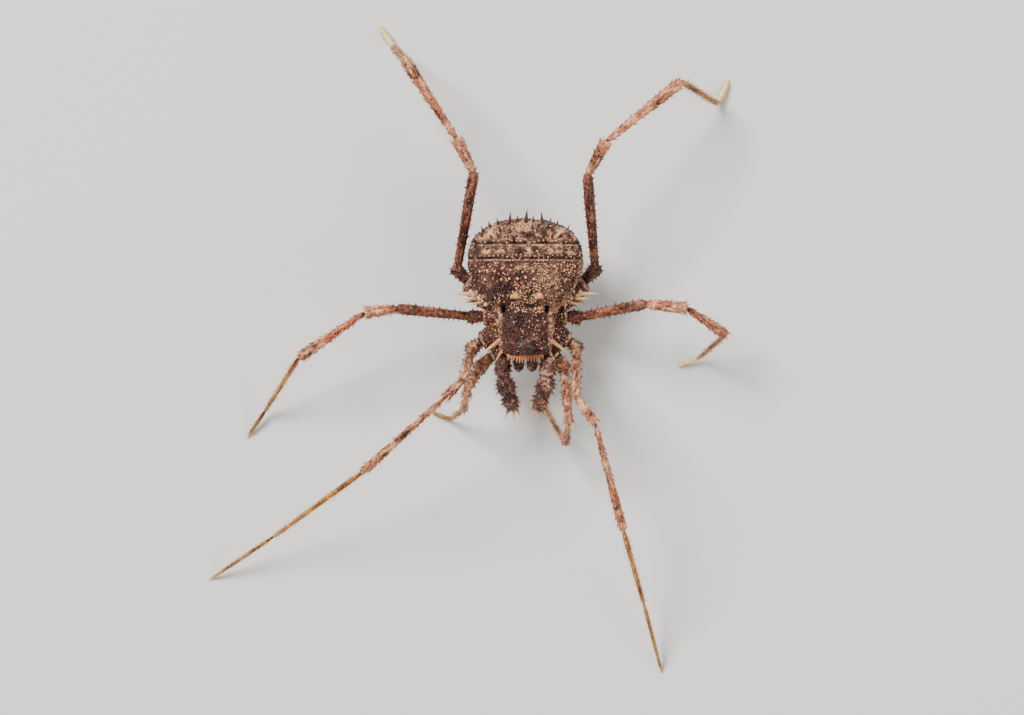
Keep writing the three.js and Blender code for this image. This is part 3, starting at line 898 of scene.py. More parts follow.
class Finishes:
    """Every finish of the animal, built once."""

    @staticmethod
    def _leg(look: LegLook) -> ShellFinish:
        """The shell finish of a leg segment, with finer relief on the outer two.

        Args:
            look: The look.

        Returns:
            The finish.
        """
        fine = look.name.endswith("TARSUS")
        # The pale colour of the legs is that of the painted highlight streaks and of the paler ends.
        pale = (1.0, 0.57, 0.31)
        if fine:
            pale = (0.88, 0.53, 0.11)
        elif look is LegLook.HIND_FEMUR:
            pale = (0.6, 0.2, 0.1)
        deep, middle, high = look.value
        # On the legs the pale grains stand for pale dots and for painted glints.
        return ShellFinish(
            look.name.capitalize().replace("_", " ") + " shell", deep=deep, middle=middle, high=high,
            grain=(0.9, 0.58, 0.24) if fine else (1.0, 0.7, 0.5), grain_share=0.04 if fine else 0.14,
            grain_size=0.05, patch_size=0.2, dust=(0.85, 0.44, 0.26), dust_amount=0.05,
            relief=0.008 if fine else 0.022, roughness=(0.25, 0.5), pale=pale,
        )

    def __init__(self) -> None:
        """Builds the materials."""
        kit = NodeKit()
        self.back = ShellFinish(
            "Back armour", deep=(0.008, 0.004, 0.004), middle=(0.1, 0.036, 0.026), high=(0.46, 0.2, 0.12),
            grain=(0.9, 0.54, 0.32), grain_share=0.12, grain_size=0.05, dust_amount=0.2, relief=0.035,
            dust=(0.55, 0.29, 0.18), roughness=(0.28, 0.6), pale=(1.0, 0.52, 0.28),
        ).make(kit)
        self.head = ShellFinish(
            "Hip armour", deep=(0.01, 0.004, 0.004), middle=(0.12, 0.035, 0.022), high=(0.48, 0.19, 0.1),
            grain=(0.9, 0.52, 0.3), grain_share=0.12, dust_amount=0.2, relief=0.035,
            roughness=(0.28, 0.6), pale=(0.66, 0.46, 0.34),
        ).make(kit)
        self.mound = ShellFinish(
            "Eye mound shell", deep=(0.01, 0.005, 0.005), middle=(0.058, 0.028, 0.022),
            high=(0.3, 0.17, 0.12),
            grain=(0.62, 0.45, 0.34), grain_share=0.25, grain_size=0.05, dust_amount=0.2,
            roughness=(0.2, 0.5), relief=0.02, patch_size=0.25,
        ).make(kit)
        self.palp = ShellFinish(
            "Palp shell", deep=(0.009, 0.004, 0.003), middle=(0.1, 0.037, 0.026), high=(0.52, 0.27, 0.18),
            grain=(0.85, 0.52, 0.34), grain_share=0.12, dust_amount=0.12, roughness=(0.2, 0.5),
            patch_size=0.3,
        ).make(kit)
        self.legs = {look: self._leg(look).make(kit) for look in LegLook}
        self.eye = EyeFinish().make()
        self.dark_spine = HornFinish(
            "Dark spines", foot=(0.075, 0.024, 0.018), tip=(0.2, 0.08, 0.05),
            tip_from=0.5, roughness=0.3, variety=0.5,
        ).make()
        self.pale_spine = HornFinish("Pale spines", foot=(0.5, 0.22, 0.09), tip=(0.9, 0.6, 0.3), tip_from=0.0,
                                     variety=0.3).make()
        self.leg_spine = HornFinish(
            "Leg spines", foot=(0.36, 0.1, 0.04), tip=(0.95, 0.68, 0.36),
            tip_from=0.2, roughness=0.35, variety=0.35,
        ).make()
        self.hip_spine = HornFinish(
            "Hip spines", foot=(0.1, 0.03, 0.02), tip=(0.75, 0.44, 0.28),
            tip_from=0.3, roughness=0.35,
        ).make()
        self.hind_spine = HornFinish("Hind leg spines", foot=(0.035, 0.01, 0.01), tip=(0.1, 0.035, 0.03),
                                     roughness=0.3).make()
        self.comb = HornFinish("Comb", foot=(0.72, 0.27, 0.11), tip=(0.86, 0.4, 0.19), tip_from=0.4,
                               variety=0.2).make()
        self.bead = HornFinish("Beads", foot=(0.4, 0.18, 0.1), tip=(0.88, 0.55, 0.35), variety=0.4).make()
        self.tan_grain = HornFinish(
            "Tan grains", foot=(0.42, 0.17, 0.09), tip=(1.0, 0.68, 0.42),
            tip_from=0.1, variety=0.75,
        ).make()
        self.orange_grain = HornFinish("Orange grains", foot=(0.42, 0.12, 0.045), tip=(0.95, 0.43, 0.19),
                                       tip_from=0.1, variety=0.7).make()
        self.brown_grain = HornFinish("Brown grains", foot=(0.025, 0.01, 0.01), tip=(0.17, 0.062, 0.045),
                                      roughness=0.35, variety=0.7).make()
        self.bristle = HornFinish(
            "Bristles", foot=(0.3, 0.12, 0.06), tip=(0.8, 0.5, 0.26), roughness=0.4,
        ).make()


@dataclass
class Assembly:
    """What the parts of the animal share: the finishes, the small forms and where the body's zero lies."""

    finishes: Finishes
    forms: FormKit
    offset: Vector

    def dress(self, piece: bpy.types.Object, material: bpy.types.Material, slot: str) -> bpy.types.Object:
        """Puts a piece's material on, sets it in the frame and has it ride on the body.

        Args:
            piece: The piece, on the bench.
            material: Its finish.
            slot: The record's slot for it; not used.

        Returns:
            The settled piece.
        """
        Bench.settle(piece, self.offset)
        Bench.smooth(piece)
        piece.data.materials.clear()
        piece.data.materials.append(material)
        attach(piece, "root")
        LOG.info("%s: %d faces", piece.name, len(piece.data.polygons))
        return piece

    def coat(self, name: str, form: SmallForm, growths: Sequence[Growth], material: bpy.types.Material,
             slot: str) -> bpy.types.Object:
        """Grows a coat of one small form and dresses it.

        Args:
            name: The coat's name.
            form: The small form.
            growths: Where its copies stand.
            material: Their finish.
            slot: The record's slot for it.

        Returns:
            The settled piece.
        """
        return self.dress(self.forms.grow(name, form, growths), material, slot)


@dataclass(frozen=True)
class BodyRing:
    """The body's outline at a place along Y: half width, top, level of its side edge, underside."""

    y: float
    half: float
    top: float
    edge: float
    under: float


BODY_PROFILE = (
    BodyRing(-2.49, 0.86, 3.18, 2.80, 2.35),
    BodyRing(-2.30, 0.96, 3.36, 2.82, 2.20),
    BodyRing(-1.90, 1.02, 3.48, 2.85, 2.08),
    BodyRing(-1.30, 1.06, 3.58, 2.88, 2.00),
    BodyRing(-0.85, 1.16, 3.62, 2.90, 2.00),
    BodyRing(-0.62, 1.30, 3.64, 2.92, 2.00),
    BodyRing(-0.30, 1.62, 3.86, 2.98, 2.02),
    BodyRing(0.20, 1.94, 4.14, 3.02, 2.04),
    BodyRing(0.75, 2.15, 4.34, 3.06, 2.06),
    BodyRing(1.20, 2.19, 4.40, 3.08, 2.10),
    BodyRing(1.77, 2.08, 4.26, 3.10, 2.22),
    BodyRing(2.15, 1.83, 3.98, 3.10, 2.38),
    BodyRing(2.45, 1.42, 3.66, 3.08, 2.55),
    BodyRing(2.65, 0.86, 3.36, 3.06, 2.75),
    BodyRing(2.72, 0.40, 3.20, 3.06, 2.90),
)
# The body's axis as its lowest and highest Y and their levels, and the middle of the left eye.
AXIS_Y = (-2.6, 2.8)
AXIS_Z = (2.95, 3.05)
EYE_PLACE = Vector((0.21, -2.18, 3.64))


@dataclass(frozen=True)
class Spot:
    """A soft round mark on the back: its place, its half width and half length, and its strength."""

    x: float
    y: float
    wide: float
    long: float
    share: float


# Pits and troughs below 0 and bumps above 0, in millimetres, on both sides of the back.
BACK_RELIEF = (
    Spot(0.78, -0.74, 0.1, 0.2, -0.32),
    Spot(0.76, -1.62, 0.1, 0.5, -0.1),
    Spot(1.5, 0.5, 0.14, 0.5, -0.1),
    Spot(0.0, -0.62, 0.75, 0.09, -0.07),
    Spot(0.44, -0.21, 0.13, 0.12, 0.1),
    Spot(0.3, -1.62, 0.2, 0.3, -0.05),
    Spot(0.34, 0.78, 0.1, 0.08, 0.06),
    Spot(0.95, 1.47, 0.16, 0.08, 0.05),
    Spot(0.99, -0.75, 0.07, 0.3, 0.08),
)
PALE_SPOTS = (
    Spot(-0.4, -0.21, 0.15, 0.11, 1.0),
    Spot(0.5, -0.21, 0.16, 0.11, 1.0),
    Spot(-1.48, 1.45, 0.12, 0.09, 1.1),
    Spot(-0.92, 1.46, 0.2, 0.1, 1.3),
    Spot(0.13, 1.5, 0.1, 0.09, 1.3),
    Spot(1.12, 1.46, 0.22, 0.1, 1.3),
    Spot(1.68, 1.43, 0.16, 0.1, 1.0),
    Spot(0.03, 2.26, 0.09, 0.08, 1.2),
    Spot(0.0, 2.3, 0.75, 0.08, 0.6),
    Spot(-1.45, 1.98, 0.2, 0.1, 0.6),
    Spot(1.5, 1.98, 0.2, 0.1, 0.6),
    Spot(0.05, 0.8, 0.12, 0.05, 0.6),
    Spot(-0.34, 0.8, 0.06, 0.05, 0.6),
    Spot(0.95, 0.45, 0.5, 0.3, 0.45),
    Spot(1.0, -0.1, 0.35, 0.2, 0.4),
    Spot(-1.5, 0.75, 0.2, 0.1, 0.35),
)
DARK_SPOTS = (
    Spot(-0.78, -0.74, 0.12, 0.22, 1.0),
    Spot(0.8, -0.74, 0.12, 0.22, 1.0),
    Spot(0.0, -1.55, 0.6, 0.6, 0.55),
    Spot(-0.15, 0.48, 0.36, 0.2, 0.85),
    Spot(-0.9, 0.05, 0.28, 0.12, 0.8),
    Spot(0.05, -0.25, 0.14, 0.12, 0.6),
    Spot(-1.24, 1.42, 0.1, 0.08, 0.8),
    Spot(-0.32, 1.42, 0.22, 0.08, 0.8),
    Spot(0.57, 1.42, 0.22, 0.08, 0.8),
    Spot(1.4, 1.4, 0.1, 0.08, 0.7),
    Spot(-0.1, 2.02, 0.3, 0.08, 0.85),
    Spot(0.55, 1.98, 0.2, 0.08, 0.6),
    Spot(-0.8, 2.0, 0.25, 0.07, 0.5),
    Spot(-0.6, -1.5, 0.12, 0.12, 0.6),
    Spot(0.6, -1.5, 0.12, 0.12, 0.6),
    Spot(0.0, 2.62, 0.9, 0.1, 0.25),
)


@dataclass
class BodyArmour(Assembly):
    """The head shield, the back shield and the two free plates behind it, as one grooved skin.

    A groove is its place along Y, its half width and the share of the height that it leaves.
    """

    sides: int = 64
    ring_step: float = 0.14
    grooves: tuple[tuple[float, float, float], ...] = (
        (-0.62, 0.09, 0.95), (1.2, 0.045, 0.955), (1.77, 0.045, 0.955),
    )
    skin: Optional[Skin] = None

    def outline(self, y: float) -> BodyRing:
        """The body's outline at any place along Y.

        Args:
            y: The place.

        Returns:
            The ring there.
        """
        stations = [ring.y for ring in BODY_PROFILE]
        sizes = [
            float(np.interp(y, stations, [getattr(ring, size) for ring in BODY_PROFILE]))
            for size in ("half", "top", "edge", "under")
        ]
        return BodyRing(y, *sizes)

    def _rings(self) -> list[BodyRing]:
        """All rings of the skin, with four of their own at each groove.

        Returns:
            The rings from the head back.
        """
        first, last = BODY_PROFILE[0].y, BODY_PROFILE[-1].y
        count = round((last - first) / self.ring_step)
        plain = [first + (last - first) * index / count for index in range(count + 1)]
        rings = []
        for y in plain:
            if all(abs(y - groove) > width * 1.7 for groove, width, _ in self.grooves):
                rings.append(self.outline(y))
        for groove, width, depth in self.grooves:
            for shift, share in ((-width, 1.0), (-width * 0.3, depth), (width * 0.3, depth), (width, 1.0)):
                ring = self.outline(groove + shift)
                rise = ring.top - ring.edge
                rings.append(BodyRing(ring.y, ring.half * (0.5 + share / 2), ring.edge + rise * share ** 1.6,
                                      ring.edge, ring.under))
        return sorted(rings, key=lambda ring: ring.y)

    def _form(self) -> bpy.types.Object:
        """Models the skin from a cylinder that lies along Y, ring by ring.

        Returns:
            The skin's coarse form.
        """
        rings = self._rings()
        Bench.deselect()
        first, second = rings[0], rings[1]
        bpy.ops.mesh.primitive_cylinder_add(
            vertices=self.sides, radius=1.0, depth=second.y - first.y, end_fill_type="NGON",
            location=(0.0, (first.y + second.y) / 2, 0.0), rotation=(math.radians(-90), 0.0, 0.0),
        )
        body = bpy.context.active_object
        Bench.take(body)
        bpy.ops.object.transform_apply(location=True, rotation=True, scale=True)
        with Bench.editing(body):
            for ring in (first, second):
                self._reshape(body, BodyRing(ring.y, 1.0, 1.0, 0.0, -1.0), ring)
            for before, after in zip(rings[1:], rings[2:]):
                Bench.select_end_face(body, 1)
                step = (0.0, after.y - before.y, 0.0)
                bpy.ops.mesh.extrude_region_move(TRANSFORM_OT_translate={"value": step})
                drawn = BodyRing(after.y, before.half, before.top, before.edge, before.under)
                self._reshape(body, drawn, after)
        return body

    @staticmethod
    def _reshape(body: bpy.types.Object, old: BodyRing, new: BodyRing) -> None:
        """Gives the ring that stands at a place along Y another outline.

        Args:
            body: The object in edit mode.
            old: The outline that the ring has.
            new: The outline that it gets.
        """

        def here(co: Vector) -> bool:
            """Whether a vertex belongs to the ring."""
            return abs(co.y - new.y) < CLOSE

        Bench.select_where(body, here)
        middle = (0.0, new.y, old.edge)
        bpy.ops.transform.resize(value=(new.half / old.half, 1.0, 1.0), center_override=middle)
        Bench.select_where(body, lambda co: here(co) and co.z > old.edge + CLOSE)
        rise = (new.top - new.edge) / (old.top - old.edge)
        bpy.ops.transform.resize(value=(1.0, 1.0, rise), center_override=middle)
        Bench.select_where(body, lambda co: here(co) and co.z < old.edge - CLOSE)
        fall = (new.edge - new.under) / (old.edge - old.under)
        bpy.ops.transform.resize(value=(1.0, 1.0, fall), center_override=middle)
        Bench.select_where(body, here)
        bpy.ops.transform.translate(value=(0.0, 0.0, new.edge - old.edge))

    @classmethod
    def _dent(cls, body: bpy.types.Object) -> None:
        """Presses pits and troughs into the back and lifts its blunt bumps.

        Args:
            body: The skin.
        """
        at = places(body)
        at[:, 2] += cls._spots(at, BACK_RELIEF, True) * cls._step(at[:, 2], 2.9, 3.2)
        body.data.vertices.foreach_set("co", at.astype(np.float32).ravel())
        body.data.update()

    @staticmethod
    def _spots(at: np.ndarray, spots: Sequence[Spot], both: bool) -> np.ndarray:
        """The sum of soft round marks at every place.

        Args:
            at: The places.
            spots: The marks.
            both: Whether each mark is there on both sides.

        Returns:
            One value per place.
        """
        total = np.zeros(len(at))
        x = np.abs(at[:, 0]) if both else at[:, 0]
        for spot in spots:
            far = ((x - spot.x) / spot.wide) ** 2 + ((at[:, 1] - spot.y) / spot.long) ** 2
            total += spot.share * np.exp(-far)
        return total

    def _markings(self, body: bpy.types.Object) -> None:
        """Paints the pale margins and spots, the dark pits and fields, and at the plates' grooves a painted
        highlight line in front, painted shade inside and a dark band behind.

        Args:
            body: The skin.
        """
        at = places(body)
        x, y, z = at.T
        margin = np.abs(np.abs(x) - np.interp(y, (-2.4, -1.9, -0.9, -0.5), (0.9, 1.04, 0.95, 1.22)))
        pale = np.exp(-((margin / 0.09) ** 2)) * self._step(y, -2.3, -2.0) * (1 - self._step(y, -0.7, -0.4))
        pale += self._spots(at, PALE_SPOTS, False)
        patches = np.array([noise.noise(Vector(place) * 3.4) for place in at])
        hind = 0.2 * self._step(y, 1.2, 1.3) + 0.34 * self._step(y, 1.8, 1.95)
        pale += hind * self._step(z, 3.1, 3.5) * np.clip(0.9 + 2.6 * patches, 0.1, 2.0)
        dark = self._spots(at, DARK_SPOTS, False)
        dark += 0.6 * self._step(y, 1.2, 1.3) * np.clip(-2.6 * patches - 0.2, 0.0, 1.0)
        # At each plate groove: a painted highlight line in front, painted shade inside and a dark band
        # behind.
        for groove, width, _ in self.grooves[1:]:
            pale += 0.55 * np.exp(-(((y - groove + 0.075) / 0.02) ** 2))
            dark += 0.95 * np.exp(-(((y - groove) / (width * 0.7)) ** 2))
            dark += 0.6 * np.exp(-(((y - groove - 0.1) / 0.06) ** 2))
        paint(body, "pale", np.clip(pale, 0.0, 1.0))
        paint(body, "dark", np.clip(dark, 0.0, 1.0))

    @staticmethod
    def _step(values: np.ndarray, low: float, high: float) -> np.ndarray:
        """Rises smoothly from 0 at low to 1 at high."""
        share = np.clip((values - low) / (high - low), 0.0, 1.0)
        return share * share * (3 - 2 * share)

    def build(self) -> list[bpy.types.Object]:
        """Models and dresses the skin and what grows on it.

        Returns:
            The pieces.
        """
        body = self._form()
        Bench.subdivide(body, 2)
        Bench.roughen(body, clouds("Body lumps", 0.42), 0.13)
        Bench.roughen(body, clouds("Body pits", 0.12), 0.075)
        self._dent(body)
        self._markings(body)
        start, end = (Vector((0.0, y, z)) for y, z in zip(AXIS_Y, AXIS_Z))
        self.skin = Skin(body, start, end, (0.0, 1.0))
        pieces = [self.dress(Bench.join("body_skin", [body]), self.finishes.back, "back")]
        for node in ("head_shield", "back_shield", "back_plate_1", "back_plate_2"):
            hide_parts(node)
        pieces += self._grain_coats()
        pieces += self._rows()
        pieces += self._comb()
        return pieces

    def _bare(self, place: Vector) -> bool:
        """Whether a place lies on a groove or on the smooth band in front of one."""
        return place.y > 2.5 or any(-0.2 < place.y - groove < 0.05 for groove, _, _ in self.grooves[1:])

    def _tan_share(self, place: Vector, normal: Vector) -> float:
        """How likely a tan grain is at a place: in drifts, and thicker on the animal's left.

        Args:
            place: The place.
            normal: The normal there.

        Returns:
            The likelihood, which may pass 1.
        """
        if normal.z < -0.2 or self._bare(place):
            return 0.03
        at = np.array([list(place)])
        field_share = 0.6 + 0.5 * math.tanh(place.x * 2.2 + 0.4)
        field_share += float(self._spots(at, PALE_SPOTS, False)[0])
        field_share -= 0.9 * float(self._spots(at, DARK_SPOTS, False)[0])
        if abs(place.x) < 0.86 and place.y < -0.85:
            field_share *= 0.06
        elif place.y < -0.85:
            field_share += 0.8
        elif place.y > 1.2:
            field_share *= 0.07
        drifts = noise.noise(place * 2.6) + 0.8 * noise.noise(place * 7.0)
        return field_share * max(0.0, 0.45 + 1.6 * drifts)

    def _brown_share(self, place: Vector, normal: Vector) -> float:
        """How likely a brown grain is at a place.

        Args:
            place: The place.
            normal: The normal there; not used.

        Returns:
            The likelihood, which may pass 1.
        """
        share = 0.15 if self._bare(place) else 0.75 + noise.noise(place * 4.0)
        share *= 0.25 if place.y > 1.75 else 1.0
        pale = float(self._spots(np.array([list(place)]), PALE_SPOTS, False)[0])
        return share * max(0.03, 1.0 - 1.3 * pale)

    def _grain_coats(self) -> list[bpy.types.Object]:
        """Tan, orange and brown grains over the whole back.

        Returns:
            The coats.
        """
        tan, orange, brown = self.finishes.tan_grain, self.finishes.orange_grain, self.finishes.brown_grain
        pale, dark = self._tan_share, self._brown_share
        kinds = (
            ("tan", tan, Spread(0.05, (0.02, 0.05), (0.014, 0.038), 0.0, 11, 30000, keep=pale)),
            ("orange", orange, Spread(0.09, (0.03, 0.07), (0.02, 0.045), 0.0, 13, 20000, keep=pale)),
            ("brown", brown, Spread(0.06, (0.02, 0.06), (0.018, 0.045), 0.0, 12, 40000, keep=dark)),
        )
        return [self.coat(f"body_{word}_grains", SmallForm.GRANULE, spread.over(self.skin), material, "back")
                for word, material, spread in kinds]

    def _on_top(self, x: float, y: float) -> Root:
        """The root straight below a point above the back.

        Args:
            x: The point's place across the back.
            y: Its place along the back.

        Returns:
            The root, on the body's side edge where there is no back under the point.
        """
        place, normal, _, _ = self.skin.tree.ray_cast(Vector((x, y, 9.0)), Vector((0, 0, -1)))
        ring = self.outline(y)
        if place is None:
            place, normal = Vector((x, y, ring.edge)), Vector((math.copysign(1.0, x), 0.0, 0.2))
        angle = math.atan2(x, place.z - AXIS_Z[0])
        along = (y - AXIS_Y[0]) / (AXIS_Y[1] - AXIS_Y[0])
        spot = (angle / (2 * math.pi) % 1.0, min(max(along, 0.0), 1.0))
        return Root(place, normal, Vector((0, 1, 0)), spot)

    def _row(self, y: float, count: int, reach: float, length: float, radius: float, lean: float, seed: int,
             peak: float = 0.0) -> list[Growth]:
        """A row of tubercles across the back.

        Args:
            y: Where the row lies.
            count: How many there are.
            reach: The share of the half width that the row takes.
            length: How long they are.
            radius: Their half width.
            lean: How far they lean back.
            seed: The seed of their variation.
            peak: How much longer every other one is in the middle.

        Returns:
            The growths.
        """
        draw = np.random.default_rng(seed)
        half = self.outline(y).half
        growths = []
        for index in range(count):
            share = 2 * index / (count - 1) - 1
            root = self._on_top(share * reach * half, y + 0.03 * draw.normal())
            direction = root.normal + Vector((share * 0.3, lean, 0.0))
            extent = length * (0.8 + 0.4 * draw.random()) + peak * (1 - share * share) * (index % 2)
            growths.append(Growth(root, direction, extent, radius * (0.85 + 0.3 * draw.random())))
        return growths

    def _upright(self, places_on_back: Sequence[tuple[float, float]], length: float, radius: float,
                 lean: float) -> list[Growth]:
        """Spines at given places on the back.

        Args:
            places_on_back: Their places across and along the back.
            length: How long they are.
            radius: Their half width.
            lean: How far they lean back.

        Returns:
            The growths.
        """
        growths = []
        for x, y in places_on_back:
            root = self._on_top(x, y)
            growths.append(Growth(root, root.normal + Vector((0.15 * x, lean, 0.0)), length, radius))
        return growths

    def _rows(self) -> list[bpy.types.Object]:
        """The rows of pale tubercles, the dark spines of the rear and the spots on the shield.

        Returns:
            The joined pieces.
        """
        beads = self._row(1.29, 25, 0.94, 0.06, 0.034, 0.2, 2)
        beads += self._row(1.86, 23, 0.92, 0.06, 0.034, 0.3, 3)
        beads += self._row(2.4, 13, 0.8, 0.06, 0.034, 0.5, 6)
        beads += self._row(0.9, 15, 0.86, 0.06, 0.04, 0.2, 1)
        pale = []
        for sign in (-1, 1):
            root = self._on_top(sign * 1.14, 1.98)
            pale.append(Growth(root, Vector((sign * 0.75, 0.9, 0.45)), 0.36, 0.085))
        dark = self._upright(((-0.59, 2.54), (0.64, 2.53)), 0.48, 0.08, 2.2)
        dark += self._upright(((0.02, 2.56),), 0.56, 0.09, 2.2)
        edge = ((-1.04, 2.48), (-0.32, 2.58), (0.31, 2.58), (0.93, 2.5), (1.2, 2.42), (1.58, 2.25),
                (-1.34, 2.38), (-1.6, 2.2))
        inner = ((-0.6, 2.16), (0.62, 2.12), (0.25, 2.3), (-0.95, 2.2), (1.0, 2.25))
        dark += self._upright(edge, 0.28, 0.06, 1.8) + self._upright(inner, 0.32, 0.065, 1.6)
        dark += self._row(1.5, 11, 0.86, 0.14, 0.05, 0.8, 10)
        dark += self._row(2.02, 11, 0.86, 0.16, 0.05, 0.9, 7)
        warts = self._row(0.75, 13, 0.8, 0.07, 0.06, 0.1, 15) + self._row(0.42, 11, 0.75, 0.07, 0.06, 0.1, 4)
        bumps = self._upright(((-0.38, -0.21), (0.52, -0.21)), 0.13, 0.14, 0.0)
        bumps += self._upright(((-0.5, -0.24), (-0.28, -0.25), (0.63, -0.26), (0.41, -0.27)), 0.1, 0.08, 0.0)
        kinds = (
            ("beads", SmallForm.GRANULE, beads, self.finishes.bead),
            ("pale_cones", SmallForm.THORN, pale, self.finishes.pale_spine),
            ("dark_spines", SmallForm.THORN, dark, self.finishes.dark_spine),
            ("warts", SmallForm.GRANULE, warts, self.finishes.orange_grain),
            ("bumps", SmallForm.GRANULE, bumps, self.finishes.comb),
        )
        return [self.coat(f"body_{word}", form, growths, material, "back")
                for word, form, growths, material in kinds]

    def _comb(self, count: int = 13, half: float = 0.64, tooth: float = 0.19) -> list[bpy.types.Object]:
        """The comb of pale teeth over the pincers, on a pale bar along the front edge.

        Args:
            count: How many teeth it has.
            half: The comb's half width.
            tooth: The length of a tooth in the middle.

        Returns:
            The bar and the teeth.
        """
        growths = []
        centres = []
        for index in range(count):
            share = 2 * index / (count - 1) - 1
            place = Vector((half * share, -2.55 + 0.05 * share * share, 3.0 - 0.05 * share * share))
            centres.append(place)
            root = Root(place, Vector((0, -1, 0)), UP, (0.5 + 0.1 * share, 0.02))
            length = tooth * (1 - 0.2 * abs(share)) + 0.08 * (0.5 + 0.5 * math.sin(index * 5.1))
            way = Vector((0.12 * share + 0.06 * math.sin(index * 2.3), -1.0, -0.14))
            growths.append(Growth(root, way, length, 0.058))
        pitch = 0.106
        rings = [Ring(0.0, 0.03)] + [Ring(0.07 + pitch * step, 0.09) for step in range(count)]
        rings.append(Ring(0.1 + pitch * count, 0.03))
        bar = Tube.build("front_bar", rings, 12)
        middle = rings[-1].height / 2
        Bench.point_along(bar, centres[0].lerp(centres[-1], 0.5) - Vector((middle, -0.05, 0.0)),
                          centres[-1] + Vector((1.0, 0.05, 0.0)))
        Bench.subdivide(bar, 1)
        Bench.roughen(bar, clouds("Bar lumps", 0.12), 0.05)
        teeth = self.forms.grow("front_comb", SmallForm.THORN, growths)
        paint(bar, "tip", np.full(len(bar.data.vertices), 0.15))
        paint(bar, "shade", np.zeros(len(bar.data.vertices)))
        return [self.dress(piece, self.finishes.comb, "back") for piece in (bar, teeth)]


@dataclass
class EyeMound(Assembly):
    """The glossy mound near the front of the head shield, with an eye on each side."""

    centre: Vector = field(default_factory=lambda: Vector((0.0, -2.14, 3.48)))
    radius: float = 0.32
    eye_radius: float = 0.11

    def build(self) -> list[bpy.types.Object]:
        """Models the mound, its front spine and the eyes.

        Returns:
            The pieces.
        """
        Bench.deselect()
        bpy.ops.mesh.primitive_uv_sphere_add(
            segments=32, ring_count=20, radius=self.radius, location=self.centre)
        mound = bpy.context.active_object
        Bench.take(mound)
        bpy.ops.object.transform_apply(location=True, rotation=True, scale=True)
        Bench.subdivide(mound, 1)
        Bench.roughen(mound, clouds("Mound pits", 0.09), 0.04)
        mound = Bench.join("eye_mound_shell", [mound])
        root = Root(self.centre + Vector((0, -0.1, self.radius * 0.9)), UP, Vector((0, 1, 0)), (0.5, 0.5))
        growths = [Growth(root, Vector((0.0, -0.35, 1.0)), 0.24, 0.07)]
        for angle in range(0, 360, 40):
            out = Vector((math.cos(math.radians(angle)), math.sin(math.radians(angle)), 0.35)).normalized()
            side = Root(self.centre + out * self.radius * 0.97, out, UP, (angle / 360.0, 0.3))
            growths.append(Growth(side, out, 0.09, 0.04))
        spines = self.forms.grow("eye_mound_spines", SmallForm.SPINE, growths)
        reach = Vector((0.0, 0.3, 0.0))
        skin = Skin(mound, self.centre - reach, self.centre + reach, (0.0, 1.0))
        spread = Spread(0.07, (0.02, 0.04), (0.016, 0.032), 0.0, 21, 500, keep=self._clear_of_eyes)
        grains = self.forms.grow("eye_mound_grains", SmallForm.GRANULE, spread.over(skin))
        pieces = [self.dress(mound, self.finishes.mound, "head")]
        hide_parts("eye_mound")
        pieces.append(self.dress(grains, self.finishes.brown_grain, "head"))
        pieces.append(self.dress(spines, self.finishes.dark_spine, "head"))
        for side in Side:
            place = Vector((side.value * EYE_PLACE.x, EYE_PLACE.y, EYE_PLACE.z))
            pieces.append(self._eye(side, place))
        return pieces

    def _clear_of_eyes(self, place: Vector, normal: Vector) -> float:
        """Keeps grains off the eyes."""
        eye = Vector((math.copysign(EYE_PLACE.x, place.x), EYE_PLACE.y, EYE_PLACE.z))
        return 0.0 if (place - eye).length < self.eye_radius * 1.25 else 0.8

    def _eye(self, side: Side, place: Vector) -> bpy.types.Object:
        """Models one eye.

        Args:
            side: The eye's side.
            place: Its middle.

        Returns:
            The piece.
        """
        Bench.deselect()
        bpy.ops.mesh.primitive_uv_sphere_add(
            segments=24, ring_count=16, radius=self.eye_radius, location=place)
        eye = bpy.context.active_object
        Bench.take(eye)
        bpy.ops.object.transform_apply(location=True, rotation=True, scale=True)
        eye = self.dress(Bench.join(f"eye_{side.word}_ball", [eye]), self.finishes.eye, "eye")
        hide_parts(f"eye_{side.word}")
        return eye


@dataclass(frozen=True)
class LegPlan:
    """Where a leg's hip lies, and length, heading and pitch of its segments, in millimetres and degrees."""

    number: int
    side: Side
    coxa: Point
    hip: Point
    segments: tuple[tuple[float, float, float], ...]
    foot_radius: float = 0.075

    @property
    def name(self) -> str:
        """The leg's name in the frame."""
        return f"leg{self.number}_{self.side.word}"

    def joints(self, floor: float) -> list[Vector]:
        """The joint centres from the hip knob to the claw, with the foot's end on the floor.

        Args:
            floor: The floor's height.

        Returns:
            The six centres.
        """
        joints = [Vector(self.hip)]
        for length, heading, pitch in self.segments:
            turn, rise = math.radians(heading), math.radians(pitch)
            flat = length * math.cos(rise)
            step = Vector((flat * math.cos(turn), flat * math.sin(turn), length * math.sin(rise)))
            joints.append(joints[-1] + step)
        joints[-1].z = floor + self.foot_radius * 0.8
        return joints


